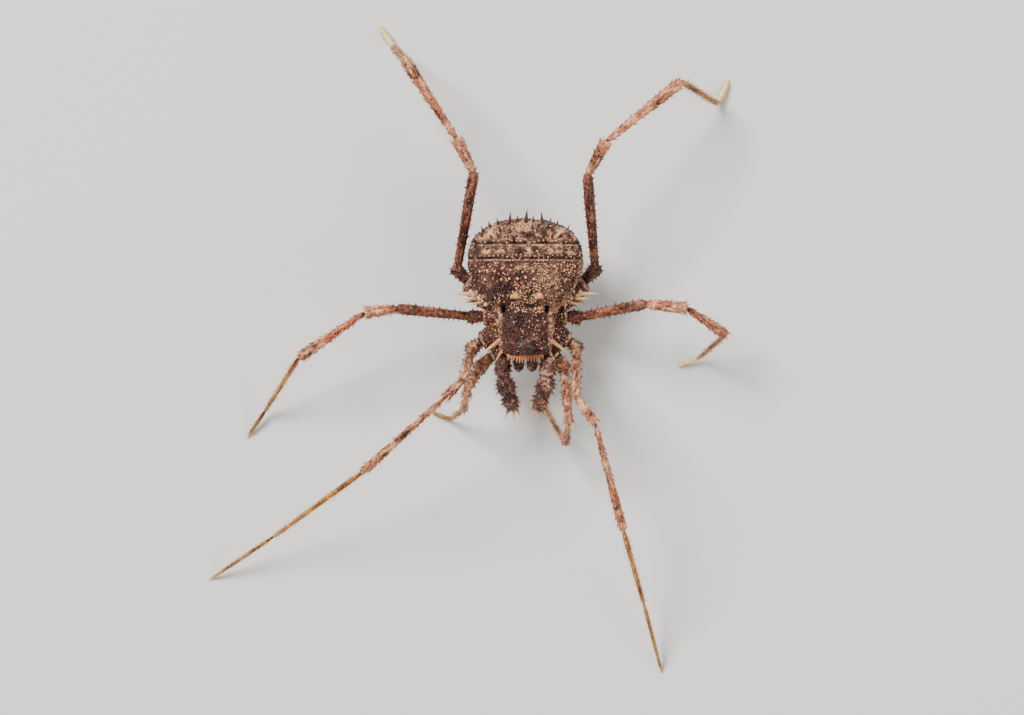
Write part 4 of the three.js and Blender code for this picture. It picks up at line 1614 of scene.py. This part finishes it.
LEG_PLANS = (
    LegPlan(1, Side.LEFT, (1.18, -2.52, 2.36), (1.5, -3.0, 2.16),
            ((2.3, -86, 52), (0.67, -85, -26), (1.74, -98, -61), (1.97, 121, -65), (0.8, 117, -14))),
    LegPlan(1, Side.RIGHT, (-1.3, -2.5, 2.36), (-1.76, -2.98, 2.16),
            ((2.19, -121, 68), (0.54, -100, -57), (1.78, -101, -70), (1.83, -147, -69), (0.75, 160, -14))),
    LegPlan(2, Side.LEFT, (1.66, -1.94, 2.36), (1.96, -2.2, 2.26),
            ((3.8, -92, 61), (1.26, -54, 14), (4.62, -75, -23), (3.77, -74, -39), (3.11, -75, -28.5))),
    LegPlan(2, Side.RIGHT, (-1.68, -1.94, 2.36), (-2.05, -2.22, 2.26),
            ((3.7, -104, 71), (0.97, -135, 13), (4.65, -138, -23), (4.93, -144, -31), (3.29, -146, -26))),
    LegPlan(3, Side.LEFT, (1.58, -0.98, 2.44), (1.96, -1.04, 2.36),
            ((3.1, 11, 32), (1.63, -6, 17), (2.63, -33, -46), (2.52, -137, -60), (0.83, -154, -12))),
    LegPlan(3, Side.RIGHT, (-1.6, -0.98, 2.44), (-2.02, -1.01, 2.36),
            ((3.1, 174, 24), (1.3, -173, 14), (3.2, -146, -18), (3.47, -124, -45), (1.2, -124, -10))),
    LegPlan(4, Side.LEFT, (2.24, 0.36, 2.62), (2.66, 0.78, 2.52),
            ((3.94, 95, 25), (1.53, 61, 21), (3.95, 39, -20), (3.44, -27, -62), (0.95, 62, -11))),
    LegPlan(4, Side.RIGHT, (-2.2, 0.36, 2.62), (-2.6, 0.76, 2.52),
            ((3.98, 80, 21), (1.52, 117, 17), (3.88, 123, -17), (2.99, 129, -78), (0.95, 123, -11))),
)


@dataclass(frozen=True)
class SegmentPlan:
    """The form of one kind of leg segment: its radii along it, its bow and what grows on it."""

    radii: tuple[tuple[float, float], ...]
    bow: float
    spacing: float
    spine: tuple[float, float]
    spine_radius: tuple[float, float]
    lean: float


SEGMENT_PLANS = {
    Segment.FEMUR: SegmentPlan(
        ((0.0, 0.13), (0.03, 0.15), (0.07, 0.165), (0.12, 0.17), (0.35, 0.185), (0.6, 0.2), (0.85, 0.21),
         (0.94, 0.215), (0.985, 0.2), (1.02, 0.13)),
        0.16, 0.2, (0.09, 0.16), (0.026, 0.04), 0.5),
    Segment.PATELLA: SegmentPlan(
        ((0.0, 0.12), (0.08, 0.15), (0.16, 0.175), (0.3, 0.19), (0.6, 0.215), (0.85, 0.23), (0.97, 0.21),
         (1.03, 0.13)),
        0.05, 0.17, (0.08, 0.18), (0.026, 0.042), 1.3),
    Segment.TIBIA: SegmentPlan(
        ((0.0, 0.08), (0.04, 0.1), (0.08, 0.125), (0.14, 0.138), (0.4, 0.16), (0.65, 0.195), (0.85, 0.215),
         (0.93, 0.22), (0.98, 0.19), (1.01, 0.12)),
        0.04, 0.18, (0.16, 0.27), (0.026, 0.04), 1.9),
    Segment.METATARSUS: SegmentPlan(
        ((0.0, 0.07), (0.04, 0.1), (0.09, 0.115), (0.3, 0.108), (0.6, 0.098), (0.9, 0.092), (0.98, 0.086),
         (1.01, 0.05)),
        0.05, 0.075, (0.08, 0.16), (0.009, 0.013), 0.9),
    Segment.TARSUS: SegmentPlan(
        ((0.0, 0.05), (0.05, 0.07), (0.12, 0.082), (0.45, 0.086), (0.8, 0.075), (0.95, 0.06), (1.0, 0.04)),
        0.02, 0.065, (0.06, 0.12), (0.007, 0.011), 0.8),
}
# How thick each leg's segments are beside the plans, from the femur to the tarsus.
LEG_GIRTH = {
    1: (0.95, 0.8, 0.74, 0.8, 0.85),
    2: (0.9, 0.8, 0.76, 0.9, 0.85),
    3: (1.0, 1.0, 0.96, 0.88, 0.85),
    4: (1.0, 1.0, 1.0, 1.0, 1.4),
}


@dataclass
class Leg(Assembly):
    """One leg with its hip knob, its five segments, spines, bristles and claw."""

    plan: LegPlan
    floor: float
    sides: int = 16
    ring_step: float = 0.16

    def build(self) -> list[bpy.types.Object]:
        """Models and dresses the leg.

        Returns:
            The pieces.
        """
        joints = self.plan.joints(self.floor)
        pieces = []
        coats: dict[str, list[Growth]] = {"thigh": [], "shin": [], "crown": [], "bristle": []}
        kinds = {Segment.FEMUR: "thigh", Segment.PATELLA: "shin", Segment.TIBIA: "shin"}
        for index, segment in enumerate(Segment):
            start, end = joints[index], joints[index + 1]
            shell = self._shell(segment, start, end)
            skin = Skin(shell, start, end, (index / 5, (index + 1) / 5))
            spread = self._spread(segment, index, (end - start).length)
            coats[kinds.get(segment, "bristle")] += spread.over(skin, self.floor + 0.01)
            if segment is Segment.PATELLA:
                coats["crown"] += self._crown(skin)
            if segment is Segment.FEMUR:
                knob = self._knob(start)
                coat = replace(spread, spacing=0.14, tries=600, along=(0.3, 1.5), lean=0.1, keep=anywhere)
                coats["thigh"] += coat.over(Skin(knob, Vector(self.plan.coxa), start, (0.0, 0.05)))
                shell = Bench.join(shell.name, [shell, knob])
            if segment is Segment.TARSUS:
                shell = Bench.join(shell.name, [shell, self._claw(start, end)])
            paint(shell, "dark", self._joint_shade(shell, start, end))
            # The pale attribute holds painted highlight streaks and the segment's paler end.
            paint(shell, "pale", self._pale_shade(segment, shell, start, end))
            self.dress(shell, self.finishes.legs[self._look(segment)], segment.slot)
            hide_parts(f"{self.plan.name}_{segment.word}")
            pieces.append(shell)
        thigh = self.finishes.hind_spine if self.plan.number > 2 else self.finishes.hip_spine
        for label, form, growths, material, slot in (
            ("thigh_spines", SmallForm.SPINE, coats["thigh"], thigh, "thigh"),
            ("shin_spines", SmallForm.SPINE, coats["shin"], self.finishes.leg_spine, "shin"),
            ("shin_crown", SmallForm.SPINE, coats["crown"], self.finishes.pale_spine, "shin"),
            ("bristles", SmallForm.BRISTLE, coats["bristle"], self.finishes.bristle, "ankle"),
        ):
            pieces.append(self.coat(f"{self.plan.name}_{label}", form, growths, material, slot))
        return pieces

    def _spread(self, segment: Segment, index: int, length: float) -> Spread:
        """How the spines or bristles stand on a segment.

        Args:
            segment: Which segment it is.
            index: Its number, from 0.
            length: How long it is.

        Returns:
            The spread.
        """
        plan = SEGMENT_PLANS[segment]
        seed = self.plan.number * 10 + index + (5 if self.plan.side is Side.LEFT else 0)
        tries = int(900 * length)
        return Spread(plan.spacing, plan.spine, plan.spine_radius, plan.lean, seed, tries, (0.08, 0.99),
                      self._beside)

    @staticmethod
    def _beside(place: Vector, normal: Vector) -> float:
        """How likely a spine is at a place: most stand on the sides of a segment."""
        return 1.0 if abs(normal.z) < 0.7 else 0.45

    @staticmethod
    def _crown(skin: Skin) -> list[Growth]:
        """The strong pale thorns round the end of a knee.

        Args:
            skin: The patella's skin.

        Returns:
            The thorns.
        """
        growths = []
        for index in range(9):
            root = skin.root(0.92, index * 2 * math.pi / 9 + 0.3)
            if root is not None:
                growths.append(Growth(root, root.normal + root.onward * 1.7, 0.2 + 0.05 * (index % 3), 0.05))
        return growths

    def _look(self, segment: Segment) -> LegLook:
        """The look of a segment, which differs between the front and hind legs.

        Args:
            segment: Which segment it is.

        Returns:
            Its look.
        """
        if segment is Segment.FEMUR:
            return LegLook.FRONT_FEMUR if self.plan.number <= 2 else LegLook.HIND_FEMUR
        if segment is Segment.TIBIA and self.plan.number == 3:
            return LegLook.RED_TIBIA
        if segment is not Segment.TARSUS:
            return LegLook[segment.name]
        if self.plan.number <= 2:
            return LegLook.LONG_TARSUS
        dark = self.plan.number == 3 and self.plan.side is Side.RIGHT
        return LegLook.DARK_TARSUS if dark else LegLook.CREAM_TARSUS

    def _shell(self, segment: Segment, start: Vector, end: Vector) -> bpy.types.Object:
        """Models one segment's shell between two joints.

        Args:
            segment: Which segment it is.
            start: Its first joint.
            end: Its last joint.

        Returns:
            The shell.
        """
        plan = SEGMENT_PLANS[segment]
        length = (end - start).length
        shares, radii = zip(*plan.radii)
        steps = range(int(length / self.ring_step))
        marks = set(shares) | {index * self.ring_step / length for index in steps}
        slim = LEG_GIRTH[self.plan.number][list(Segment).index(segment)]
        rings, last = [], -1.0
        for share in sorted(marks):
            if share - last < 0.02 and share not in shares:
                continue
            last = share
            radius = float(np.interp(share, shares, radii)) * slim
            bow = plan.bow * 4 * share * (1 - share) if 0 <= share <= 1 else 0.0
            rings.append(Ring(share * length, radius, bow))
        shell = Tube.build(f"{self.plan.name}_{segment.word}_shell", rings, self.sides)
        Bench.point_along(shell, start, end)
        Bench.subdivide(shell, 1)
        rough = 0.05 if segment.slot in ("thigh", "shin") else 0.02
        Bench.roughen(shell, clouds(f"{segment.word} lumps", 0.16), rough)
        return shell

    def _knob(self, hip: Vector) -> bpy.types.Object:
        """Models the round knob between the hip socket and the femur.

        Args:
            hip: The centre of the femur's own joint.

        Returns:
            The knob.
        """
        socket = Vector(self.plan.coxa)
        length = (hip - socket).length
        rings = [Ring(0.0, 0.2), Ring(0.08, 0.23), Ring(0.16, 0.2), Ring(length * 0.55, 0.25),
                 Ring(length, 0.29), Ring(length + 0.15, 0.25), Ring(length + 0.24, 0.14)]
        rings = sorted({ring.height: ring for ring in rings}.values(), key=lambda ring: ring.height)
        knob = Tube.build("knob", rings, self.sides)
        Bench.point_along(knob, socket, hip)
        Bench.subdivide(knob, 1)
        Bench.roughen(knob, clouds("Knob lumps", 0.16), 0.05)
        return knob

    def _claw(self, before: Vector, tip: Vector) -> bpy.types.Object:
        """Models the small claw at the foot's end.

        Args:
            before: The tarsus' first joint.
            tip: Its end.

        Returns:
            The claw.
        """
        onward = tip - before
        onward.z = 0.0
        onward.normalize()
        rings = [Ring(0.0, 0.035, 0.0), Ring(0.05, 0.03, 0.005), Ring(0.1, 0.018, -0.005),
                 Ring(0.14, 0.004, -0.03)]
        claw = Tube.build("claw", rings, 6)
        Bench.point_along(claw, tip - onward * 0.01, tip + onward)
        return claw

    @staticmethod
    def _joint_shade(shell: bpy.types.Object, start: Vector, end: Vector) -> np.ndarray:
        """Darkens the narrow neck just past a segment's start."""
        along = (places(shell) - np.array(start)) @ np.array((end - start).normalized())
        return 0.55 * np.exp(-(((along - 0.06) / 0.07) ** 2)) * (along > -0.05)

    def _pale_shade(self, segment: Segment, shell: bpy.types.Object, start: Vector,
                    end: Vector) -> np.ndarray:
        """Paints highlights as pale lengthwise streaks on the shell, and lightens it more towards its end.

        Args:
            segment: Which segment it is.
            shell: Its shell.
            start: Its first joint.
            end: Its last joint.

        Returns:
            One value per vertex.
        """
        axis = (end - start).normalized()
        beside = axis.orthogonal().normalized()
        at = places(shell) - np.array(start)
        length = (end - start).length
        along = at @ np.array(axis) / length
        turn = np.arctan2(at @ np.array(axis.cross(beside)), at @ np.array(beside))
        wave = 2.6
        number = self.plan.number
        # Painted highlights: narrow pale streaks along the shell.
        highlight_streaks = np.array([
            noise.noise(Vector((
                wave * math.cos(angle), wave * math.sin(angle), 1.5 * length * share + number)))
            for angle, share in zip(turn, along)
        ])
        highlight_streaks = np.clip(4.0 * highlight_streaks - 0.5, 0.0, 1.0)
        tip = np.clip((along - 0.75) / 0.25, 0.0, 1.0) ** 2
        if segment is Segment.FEMUR and number > 2:
            return 0.3 * highlight_streaks + (0.14 if number == 3 else 0.02) + 0.15 * tip
        if segment is Segment.FEMUR:
            return 0.6 * highlight_streaks + 0.15 * tip + 0.03
        return np.clip(0.65 * highlight_streaks + tip * (0.8 if segment is Segment.TARSUS else 0.3), 0.0, 1.0)


@dataclass
class Hips(Assembly):
    """The hip lobes of a side: three under the head shield and the large hind one with pale spines.

    A lobe's root is its place, then its slot, its two radii and the spacing of its larger grains.
    """

    side: Side
    sides: int = 24
    roots: dict[int, tuple[Point, str, tuple[float, float], float]] = field(default_factory=lambda: {
        1: ((0.35, -1.9, 2.42), "head", (0.42, 0.29), 0.13),
        2: ((0.4, -1.3, 2.46), "head", (0.5, 0.32), 0.13),
        3: ((0.4, -0.98, 2.46), "head", (0.48, 0.32), 0.13),
        4: ((0.9, -0.55, 2.45), "back", (0.46, 0.36), 0.11),
    })

    def build(self) -> list[bpy.types.Object]:
        """Models and dresses the hips.

        Returns:
            The pieces.
        """
        word = self.side.word
        sockets = {plan.number: Vector(plan.coxa) for plan in LEG_PLANS if plan.side is self.side}
        pieces = []
        grains: list[Growth] = []
        brown: list[Growth] = []
        warts: list[Growth] = []
        for number, ((x, y, z), slot, radii, spacing) in self.roots.items():
            lobe, skin = self._lobe(number, Vector((self.side.value * x, y, z)), sockets[number], radii)
            grains += self._grains(skin, number, spacing)
            brown += self._grains(skin, number, 0.075)
            warts += self._warts(skin, number)
            pieces.append(self.dress(lobe, self.finishes.head, slot))
        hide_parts(f"hip4_{word}")
        for label, form, growths, material in (
            ("blades", SmallForm.THORN, self._blades(), self.finishes.pale_spine),
            ("tan_grains", SmallForm.GRANULE, grains, self.finishes.orange_grain),
            ("brown_grains", SmallForm.GRANULE, brown, self.finishes.brown_grain),
            ("spines", SmallForm.SPINE, warts, self.finishes.hip_spine),
            ("lumps", SmallForm.GRANULE, self._lumps(), self.finishes.bead),
        ):
            pieces.append(self.coat(f"hips_{word}_{label}", form, growths, material, "head"))
        return pieces

    def _lobe(self, number: int, start: Vector, end: Vector,
              radii: tuple[float, float]) -> tuple[bpy.types.Object, Skin]:
        """Models one hip lobe with a collar at its mouth.

        Args:
            number: The number of its leg.
            start: Its root inside the body.
            end: Its mouth.
            radii: Its radius at the root and at the mouth.

        Returns:
            The lobe and its skin.
        """
        length = (end - start).length
        wide, narrow = radii
        bulge = 0.12 if number == 4 else 0.03
        shares = ((0.0, wide), (0.25, wide), (0.5, wide * 0.98), (0.7, (wide + narrow) / 2), (0.84, narrow),
                  (0.89, narrow * 0.93), (0.94, narrow * 1.04), (1.0, narrow * 1.02), (1.02, narrow * 0.7))
        rings = [Ring(share * length, radius, bulge * 4 * share * max(1 - share, 0.0))
                 for share, radius in shares]
        lobe = Tube.build(f"hip{number}_{self.side.word}_lobe", rings, self.sides)
        Bench.point_along(lobe, start, end, Vector((self.side.value, -0.3, 0.4)))
        Bench.subdivide(lobe, 2)
        Bench.roughen(lobe, clouds(f"Hip lumps {number}", 0.28), 0.09)
        Bench.roughen(lobe, clouds(f"Hip pits {number}", 0.1), 0.04)
        at = places(lobe)
        along = (at - np.array(start)) @ np.array((end - start).normalized()) / length
        paint(lobe, "pale", 0.8 * np.exp(-(((along - 0.95) / 0.05) ** 2)))
        paint(lobe, "dark", 0.8 * np.exp(-(((along - 0.88) / 0.03) ** 2)))
        return lobe, Skin(lobe, start, end, (number / 5, (number + 1) / 5))

    def _grains(self, skin: Skin, number: int, spacing: float) -> list[Growth]:
        """Grains over one lobe.

        Args:
            skin: The lobe's skin.
            number: The number of its leg.
            spacing: Their spacing, more or less.

        Returns:
            The growths.
        """
        seed = 30 + number + round(1000 * spacing)
        return Spread(spacing * 0.8, (0.02, 0.06), (0.012, 0.05), 0.0, seed, 2400, (0.2, 0.98),
                      lambda place, normal: 0.5 + 1.2 * noise.noise(place * 5.0)).over(skin)

    def _warts(self, skin: Skin, number: int) -> list[Growth]:
        """Short pale spines over one lobe."""
        return Spread(0.22, (0.08, 0.2), (0.035, 0.06), 0.3, 40 + number, 400, (0.25, 0.95),
                      lambda place, normal: 1.0 if normal.z > -0.3 else 0.2).over(skin)

    def _blades(self) -> list[Growth]:
        """The long pale spines over the first legs and on the hind hip.

        Returns:
            The growths.
        """
        sign = self.side.value
        plans = (
            ((1.04, -1.96, 2.95), (0.8, -0.6, -0.06), 0.78, 0.1),
            ((0.92, -2.36, 2.86), (0.5, -0.8, -0.2), 0.44, 0.07),
            ((1.86, -0.14, 2.88), (1.0, 0.0, 0.12), 0.92, 0.13),
            ((1.76, -0.3, 2.86), (1.0, -0.04, 0.14), 0.62, 0.115),
            ((1.62, -0.44, 2.84), (1.0, -0.25, 0.1), 0.5, 0.1),
            ((1.98, -0.42, 2.7), (1.0, -0.15, 0.05), 0.46, 0.06),
        )
        growths: list[Growth] = []
        for index, (place, direction, length, radius) in enumerate(plans):
            mirrored = Vector((sign * place[0], place[1], place[2]))
            way = Vector((sign * direction[0], direction[1], direction[2]))
            root = Root(mirrored, way.normalized(), UP, (0.1 + 0.1 * index, 0.05))
            growths.append(Growth(root, way, length, radius))
        return growths

    def _lumps(self) -> list[Growth]:
        """The pale lumps that the blades of the hind hip stand on.

        Returns:
            The growths.
        """
        growths = []
        for index, (x, y, z, size) in enumerate((
            (2.06, -0.04, 2.94, 0.1), (1.95, -0.18, 2.96, 0.13), (1.82, -0.08, 3.04, 0.07),
            (1.76, -0.3, 2.98, 0.12), (1.63, -0.4, 2.98, 0.09), (1.5, -0.54, 2.94, 0.1),
            (1.68, -0.2, 3.1, 0.06), (2.18, 0.06, 2.86, 0.07), (1.9, -0.34, 2.88, 0.08),
            (1.44, -0.46, 3.0, 0.06), (1.58, -0.26, 3.08, 0.05), (1.72, -0.48, 2.86, 0.07),
        )):
            aside = self.side.value * (0.5 + 0.3 * math.sin(index * 2.1))
            out = Vector((aside, 0.4 * math.sin(index * 3.7), 0.8))
            place = Vector((self.side.value * x, y, z - 0.06))
            root = Root(place, out.normalized(), UP, (0.6 + 0.03 * index, 0.05))
            growths.append(Growth(root, out, 0.1 + 0.04 * math.sin(index * 1.3), size))
        return growths


@dataclass
class Palp(Assembly):
    """A feeler beside the mouth: thigh piece, spiny shin and a foot that ends in thorns."""

    side: Side
    sides: int = 20
    joints: tuple[Point, ...] = (
        (0.84, -2.42, 2.46), (0.87, -3.28, 3.0), (0.63, -4.0, 2.68), (0.49, -4.54, 2.14),
    )
    radii: tuple[tuple[float, ...], ...] = (
        (0.22, 0.26, 0.29, 0.3, 0.3, 0.22),
        (0.17, 0.3, 0.35, 0.36, 0.33, 0.21),
        (0.16, 0.28, 0.31, 0.29, 0.23, 0.11),
    )

    def build(self) -> list[bpy.types.Object]:
        """Models and dresses the feeler.

        Returns:
            The pieces.
        """
        centres = [Vector((self.side.value * x, y, z)) for x, y, z in self.joints]
        pieces = []
        dark: list[Growth] = []
        pale: list[Growth] = []
        hairs: list[Growth] = []
        for index, word in enumerate(("femur", "tibia", "foot")):
            start, end = centres[index], centres[index + 1]
            length = (end - start).length
            count = len(self.radii[index]) - 1
            rings = [Ring(length * step / count, radius) for step, radius in enumerate(self.radii[index])]
            rings.append(Ring(length * 1.08, rings[-1].radius * 0.5))
            shell = Tube.build(f"palp_{self.side.word}_{word}_shell", rings, self.sides)
            Bench.point_along(shell, start, end)
            Bench.subdivide(shell, 2)
            Bench.roughen(shell, clouds(f"Palp lumps {index}", 0.16), 0.06)
            skin = Skin(shell, start, end, (index / 3, (index + 1) / 3))
            dark += Spread(0.14, (0.08, 0.16), (0.028, 0.045), 0.4, 60 + index, 700, (0.12, 0.95)).over(skin)
            hairs += Spread(0.2, (0.1, 0.18), (0.008, 0.012), 0.6, 70 + index, 300, (0.12, 0.98)).over(skin)
            pale += self._thorns(index, start, end)
            self.dress(shell, self.finishes.palp, "palp")
            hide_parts(f"palp_{self.side.word}_{word}")
            pieces.append(shell)
        for label, form, growths, material in (
            ("granules", SmallForm.SPINE, dark, self.finishes.dark_spine),
            ("thorns", SmallForm.SPINE, pale, self.finishes.pale_spine),
            ("hairs", SmallForm.BRISTLE, hairs, self.finishes.bristle),
        ):
            pieces.append(self.coat(f"palp_{self.side.word}_{label}", form, growths, material, "palp"))
        return pieces

    def _thorns(self, index: int, start: Vector, end: Vector) -> list[Growth]:
        """The long thorns that make the feeler a trap, on its inner and lower sides.

        Each is planned as its place along the segment, its hand, how it points up or down, and its length.

        Args:
            index: The segment's number, from 0.
            start: Its first joint.
            end: Its last joint.

        Returns:
            The growths.
        """
        sign = self.side.value
        plans = (
            ((0.35, 1, -0.8, 0.2), (0.65, 1, -0.4, 0.24)),
            ((0.3, 1, -0.3, 0.3), (0.65, 1, -0.35, 0.34), (0.45, -1, -0.5, 0.26), (0.85, -1, -0.2, 0.28)),
            ((0.3, 1, -0.2, 0.3), (0.6, 1, -0.2, 0.3), (0.4, -1, -0.2, 0.3), (0.75, -1, -0.2, 0.28),
             (0.55, -1, 0.6, 0.3)),
        )
        direction = (end - start).normalized()
        across = direction.cross(UP).normalized()
        growths = []
        for along, hand, drop, length in plans[index]:
            out = across * (-sign * hand) + UP * drop
            radius = float(np.interp(along, np.linspace(0, 1, len(self.radii[index])), self.radii[index]))
            place = start.lerp(end, along) + out.normalized() * radius * 0.85
            root = Root(place, out, direction, (0.5 + 0.2 * hand, (index + along) / 3 * 0.99))
            growths.append(Growth(root, out + direction * (0.7 if index < 2 else 1.4), length, 0.045))
        if index == 2:
            for step, turn in enumerate((-0.45, -0.12, 0.3)):
                way = Vector((turn * sign, -1.0, -0.12))
                place = start.lerp(end, 0.82) + Vector((turn * sign * 0.4, -0.06, 0.02))
                root = Root(place, way.normalized(), UP, (0.2 + 0.2 * step, 0.98))
                growths.append(Growth(root, way, 0.46, 0.085))
        return growths


@dataclass
class Pincer(Assembly):
    """One of the two short pincers under the comb."""

    side: Side

    def build(self) -> list[bpy.types.Object]:
        """Models and dresses the pincer.

        Returns:
            The pieces.
        """
        sign = self.side.value
        base = Vector((sign * 0.25, -2.3, 2.62))
        elbow = Vector((sign * 0.27, -2.86, 2.66))
        wrist = Vector((sign * 0.25, -2.94, 2.1))
        parts = []
        bars = ((base, elbow, (0.17, 0.21, 0.23, 0.2)), (elbow, wrist, (0.17, 0.22, 0.2, 0.13)))
        for start, end, radii in bars:
            length = (end - start).length
            rings = [Ring(length * step / 3, radius) for step, radius in enumerate(radii)]
            rings.append(Ring(length * 1.15, radii[-1] * 0.6))
            part = Tube.build("pincer part", rings, 16)
            Bench.point_along(part, start, end)
            Bench.subdivide(part, 1)
            parts.append(part)
        for lean in (-1, 1):
            rings = [Ring(0.0, 0.1), Ring(0.14, 0.08, 0.02), Ring(0.28, 0.045, 0.01),
                     Ring(0.36, 0.012, -0.03)]
            finger = Tube.build("finger", rings, 10)
            foot = wrist + Vector((0, 0.06 * lean, 0.04))
            Bench.point_along(finger, foot, foot + Vector((0, 0.3 * lean, -1)), Vector((0, lean, 0)))
            parts.append(finger)
        shell = Bench.join(f"pincer_{self.side.word}_shell", parts)
        Bench.roughen(shell, clouds("Pincer lumps", 0.12), 0.03)
        skin = Skin(shell, base, elbow, (0.0, 1.0))
        spines = Spread(0.13, (0.06, 0.12), (0.022, 0.035), 0.3, 80, 200, (0.5, 1.0)).over(skin)
        self.dress(shell, self.finishes.palp, "palp")
        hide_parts(f"pincer_{self.side.word}")
        name = f"pincer_{self.side.word}_granules"
        return [shell, self.coat(name, SmallForm.SPINE, spines, self.finishes.dark_spine, "palp")]


@dataclass
class Studio:
    """The plain floor, the soft light and the camera straight above.

    The view, the camera and its focus are in millimetres, the floor's and the lights' sizes in metres.
    """

    offset: Vector
    view_width: float = 38.91
    view_centre: tuple[float, float] = (-0.51, -2.565)
    camera_height: float = 260.0
    focus_level: float = 3.2
    floor_size: float = 1.6
    floor_colour: Colour = (0.78, 0.77, 0.74)
    sky_colour: Colour = (1.0, 0.98, 0.95)
    sky_strength: float = 0.38
    key_power: float = 7.0
    fill_power: float = 2.2
    sensor_width: float = 36.0

    def build(self) -> None:
        """Sets up floor, lights and camera."""
        self._floor()
        self._light("Key light", Vector((-0.3, 0.3, 0.5)), 0.24, self.key_power)
        self._light("Fill light", Vector((0.5, -0.25, 0.4)), 0.4, self.fill_power)
        world = bpy.data.worlds.new("Studio")
        world.use_nodes = True
        sky = world.node_tree.nodes["Background"]
        sky.inputs["Color"].default_value = (*self.sky_colour, 1.0)
        sky.inputs["Strength"].default_value = self.sky_strength
        bpy.context.scene.world = world
        self._camera()

    def _floor(self) -> None:
        """A plain pale floor at the feet's level."""
        Bench.deselect()
        bpy.ops.mesh.primitive_plane_add(size=self.floor_size, location=(0, 0, 0))
        floor = bpy.context.active_object
        floor.name = "studio_floor"
        material = bpy.data.materials.new("Studio floor")
        material.use_nodes = True
        shader = material.node_tree.nodes["Principled BSDF"]
        shader.inputs["Base Color"].default_value = (*self.floor_colour, 1.0)
        shader.inputs["Roughness"].default_value = 0.9
        floor.data.materials.append(material)

    @staticmethod
    def _light(name: str, place: Vector, size: float, power: float) -> None:
        """A soft square light that faces the animal.

        Args:
            name: Its name.
            place: Where it hangs.
            size: How wide it is.
            power: How strong it is, in watts.
        """
        Bench.deselect()
        bpy.ops.object.light_add(type="AREA", location=place)
        lamp = bpy.context.active_object
        lamp.name = name
        lamp.data.size = size
        lamp.data.energy = power
        lamp.rotation_euler = (-place).to_track_quat("-Z", "Y").to_euler()

    def _camera(self) -> None:
        """The camera straight above, with the top of the picture along +Y."""
        Bench.deselect()
        centre = Vector((*self.view_centre, 0.0)) + self.offset
        place = (centre.x * MM, centre.y * MM, self.camera_height * MM)
        bpy.ops.object.camera_add(location=place, rotation=(0, 0, 0))
        camera = bpy.context.active_object
        camera.name = "Camera"
        distance = self.camera_height - self.focus_level
        camera.data.sensor_width = self.sensor_width
        camera.data.lens = self.sensor_width * distance / self.view_width
        camera.data.clip_start = 0.005
        camera.data.clip_end = 10.0
        bpy.context.scene.camera = camera


def body_offset() -> Vector:
    """Where the body's own zero lies in the frame, in millimetres, worked out from the eyes.

    Returns:
        The offset.
    """
    total = Vector((0.0, 0.0, 0.0))
    for side in Side:
        low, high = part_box(f"eye_{side.word}")
        total += (low + high) / 2
    return total / 2 / MM - Vector((0.0, EYE_PLACE.y, EYE_PLACE.z))


def main() -> None:
    """Builds the animal piece by piece, then the studio."""
    logging.basicConfig(level=logging.INFO, format="%(message)s")
    offset = body_offset()
    floor = -offset.z
    finishes = Finishes()
    forms = FormKit()
    shared = (finishes, forms, offset)
    parts = [BodyArmour(*shared), EyeMound(*shared)]
    for side in Side:
        parts += [Hips(*shared, side), Palp(*shared, side), Pincer(*shared, side)]
    parts += [Leg(*shared, plan, floor) for plan in LEG_PLANS]
    count = sum(len(part.build()) for part in parts)
    LOG.info("%d pieces in all", count)
    Studio(offset).build()


if __name__ == "__main__":
    main()
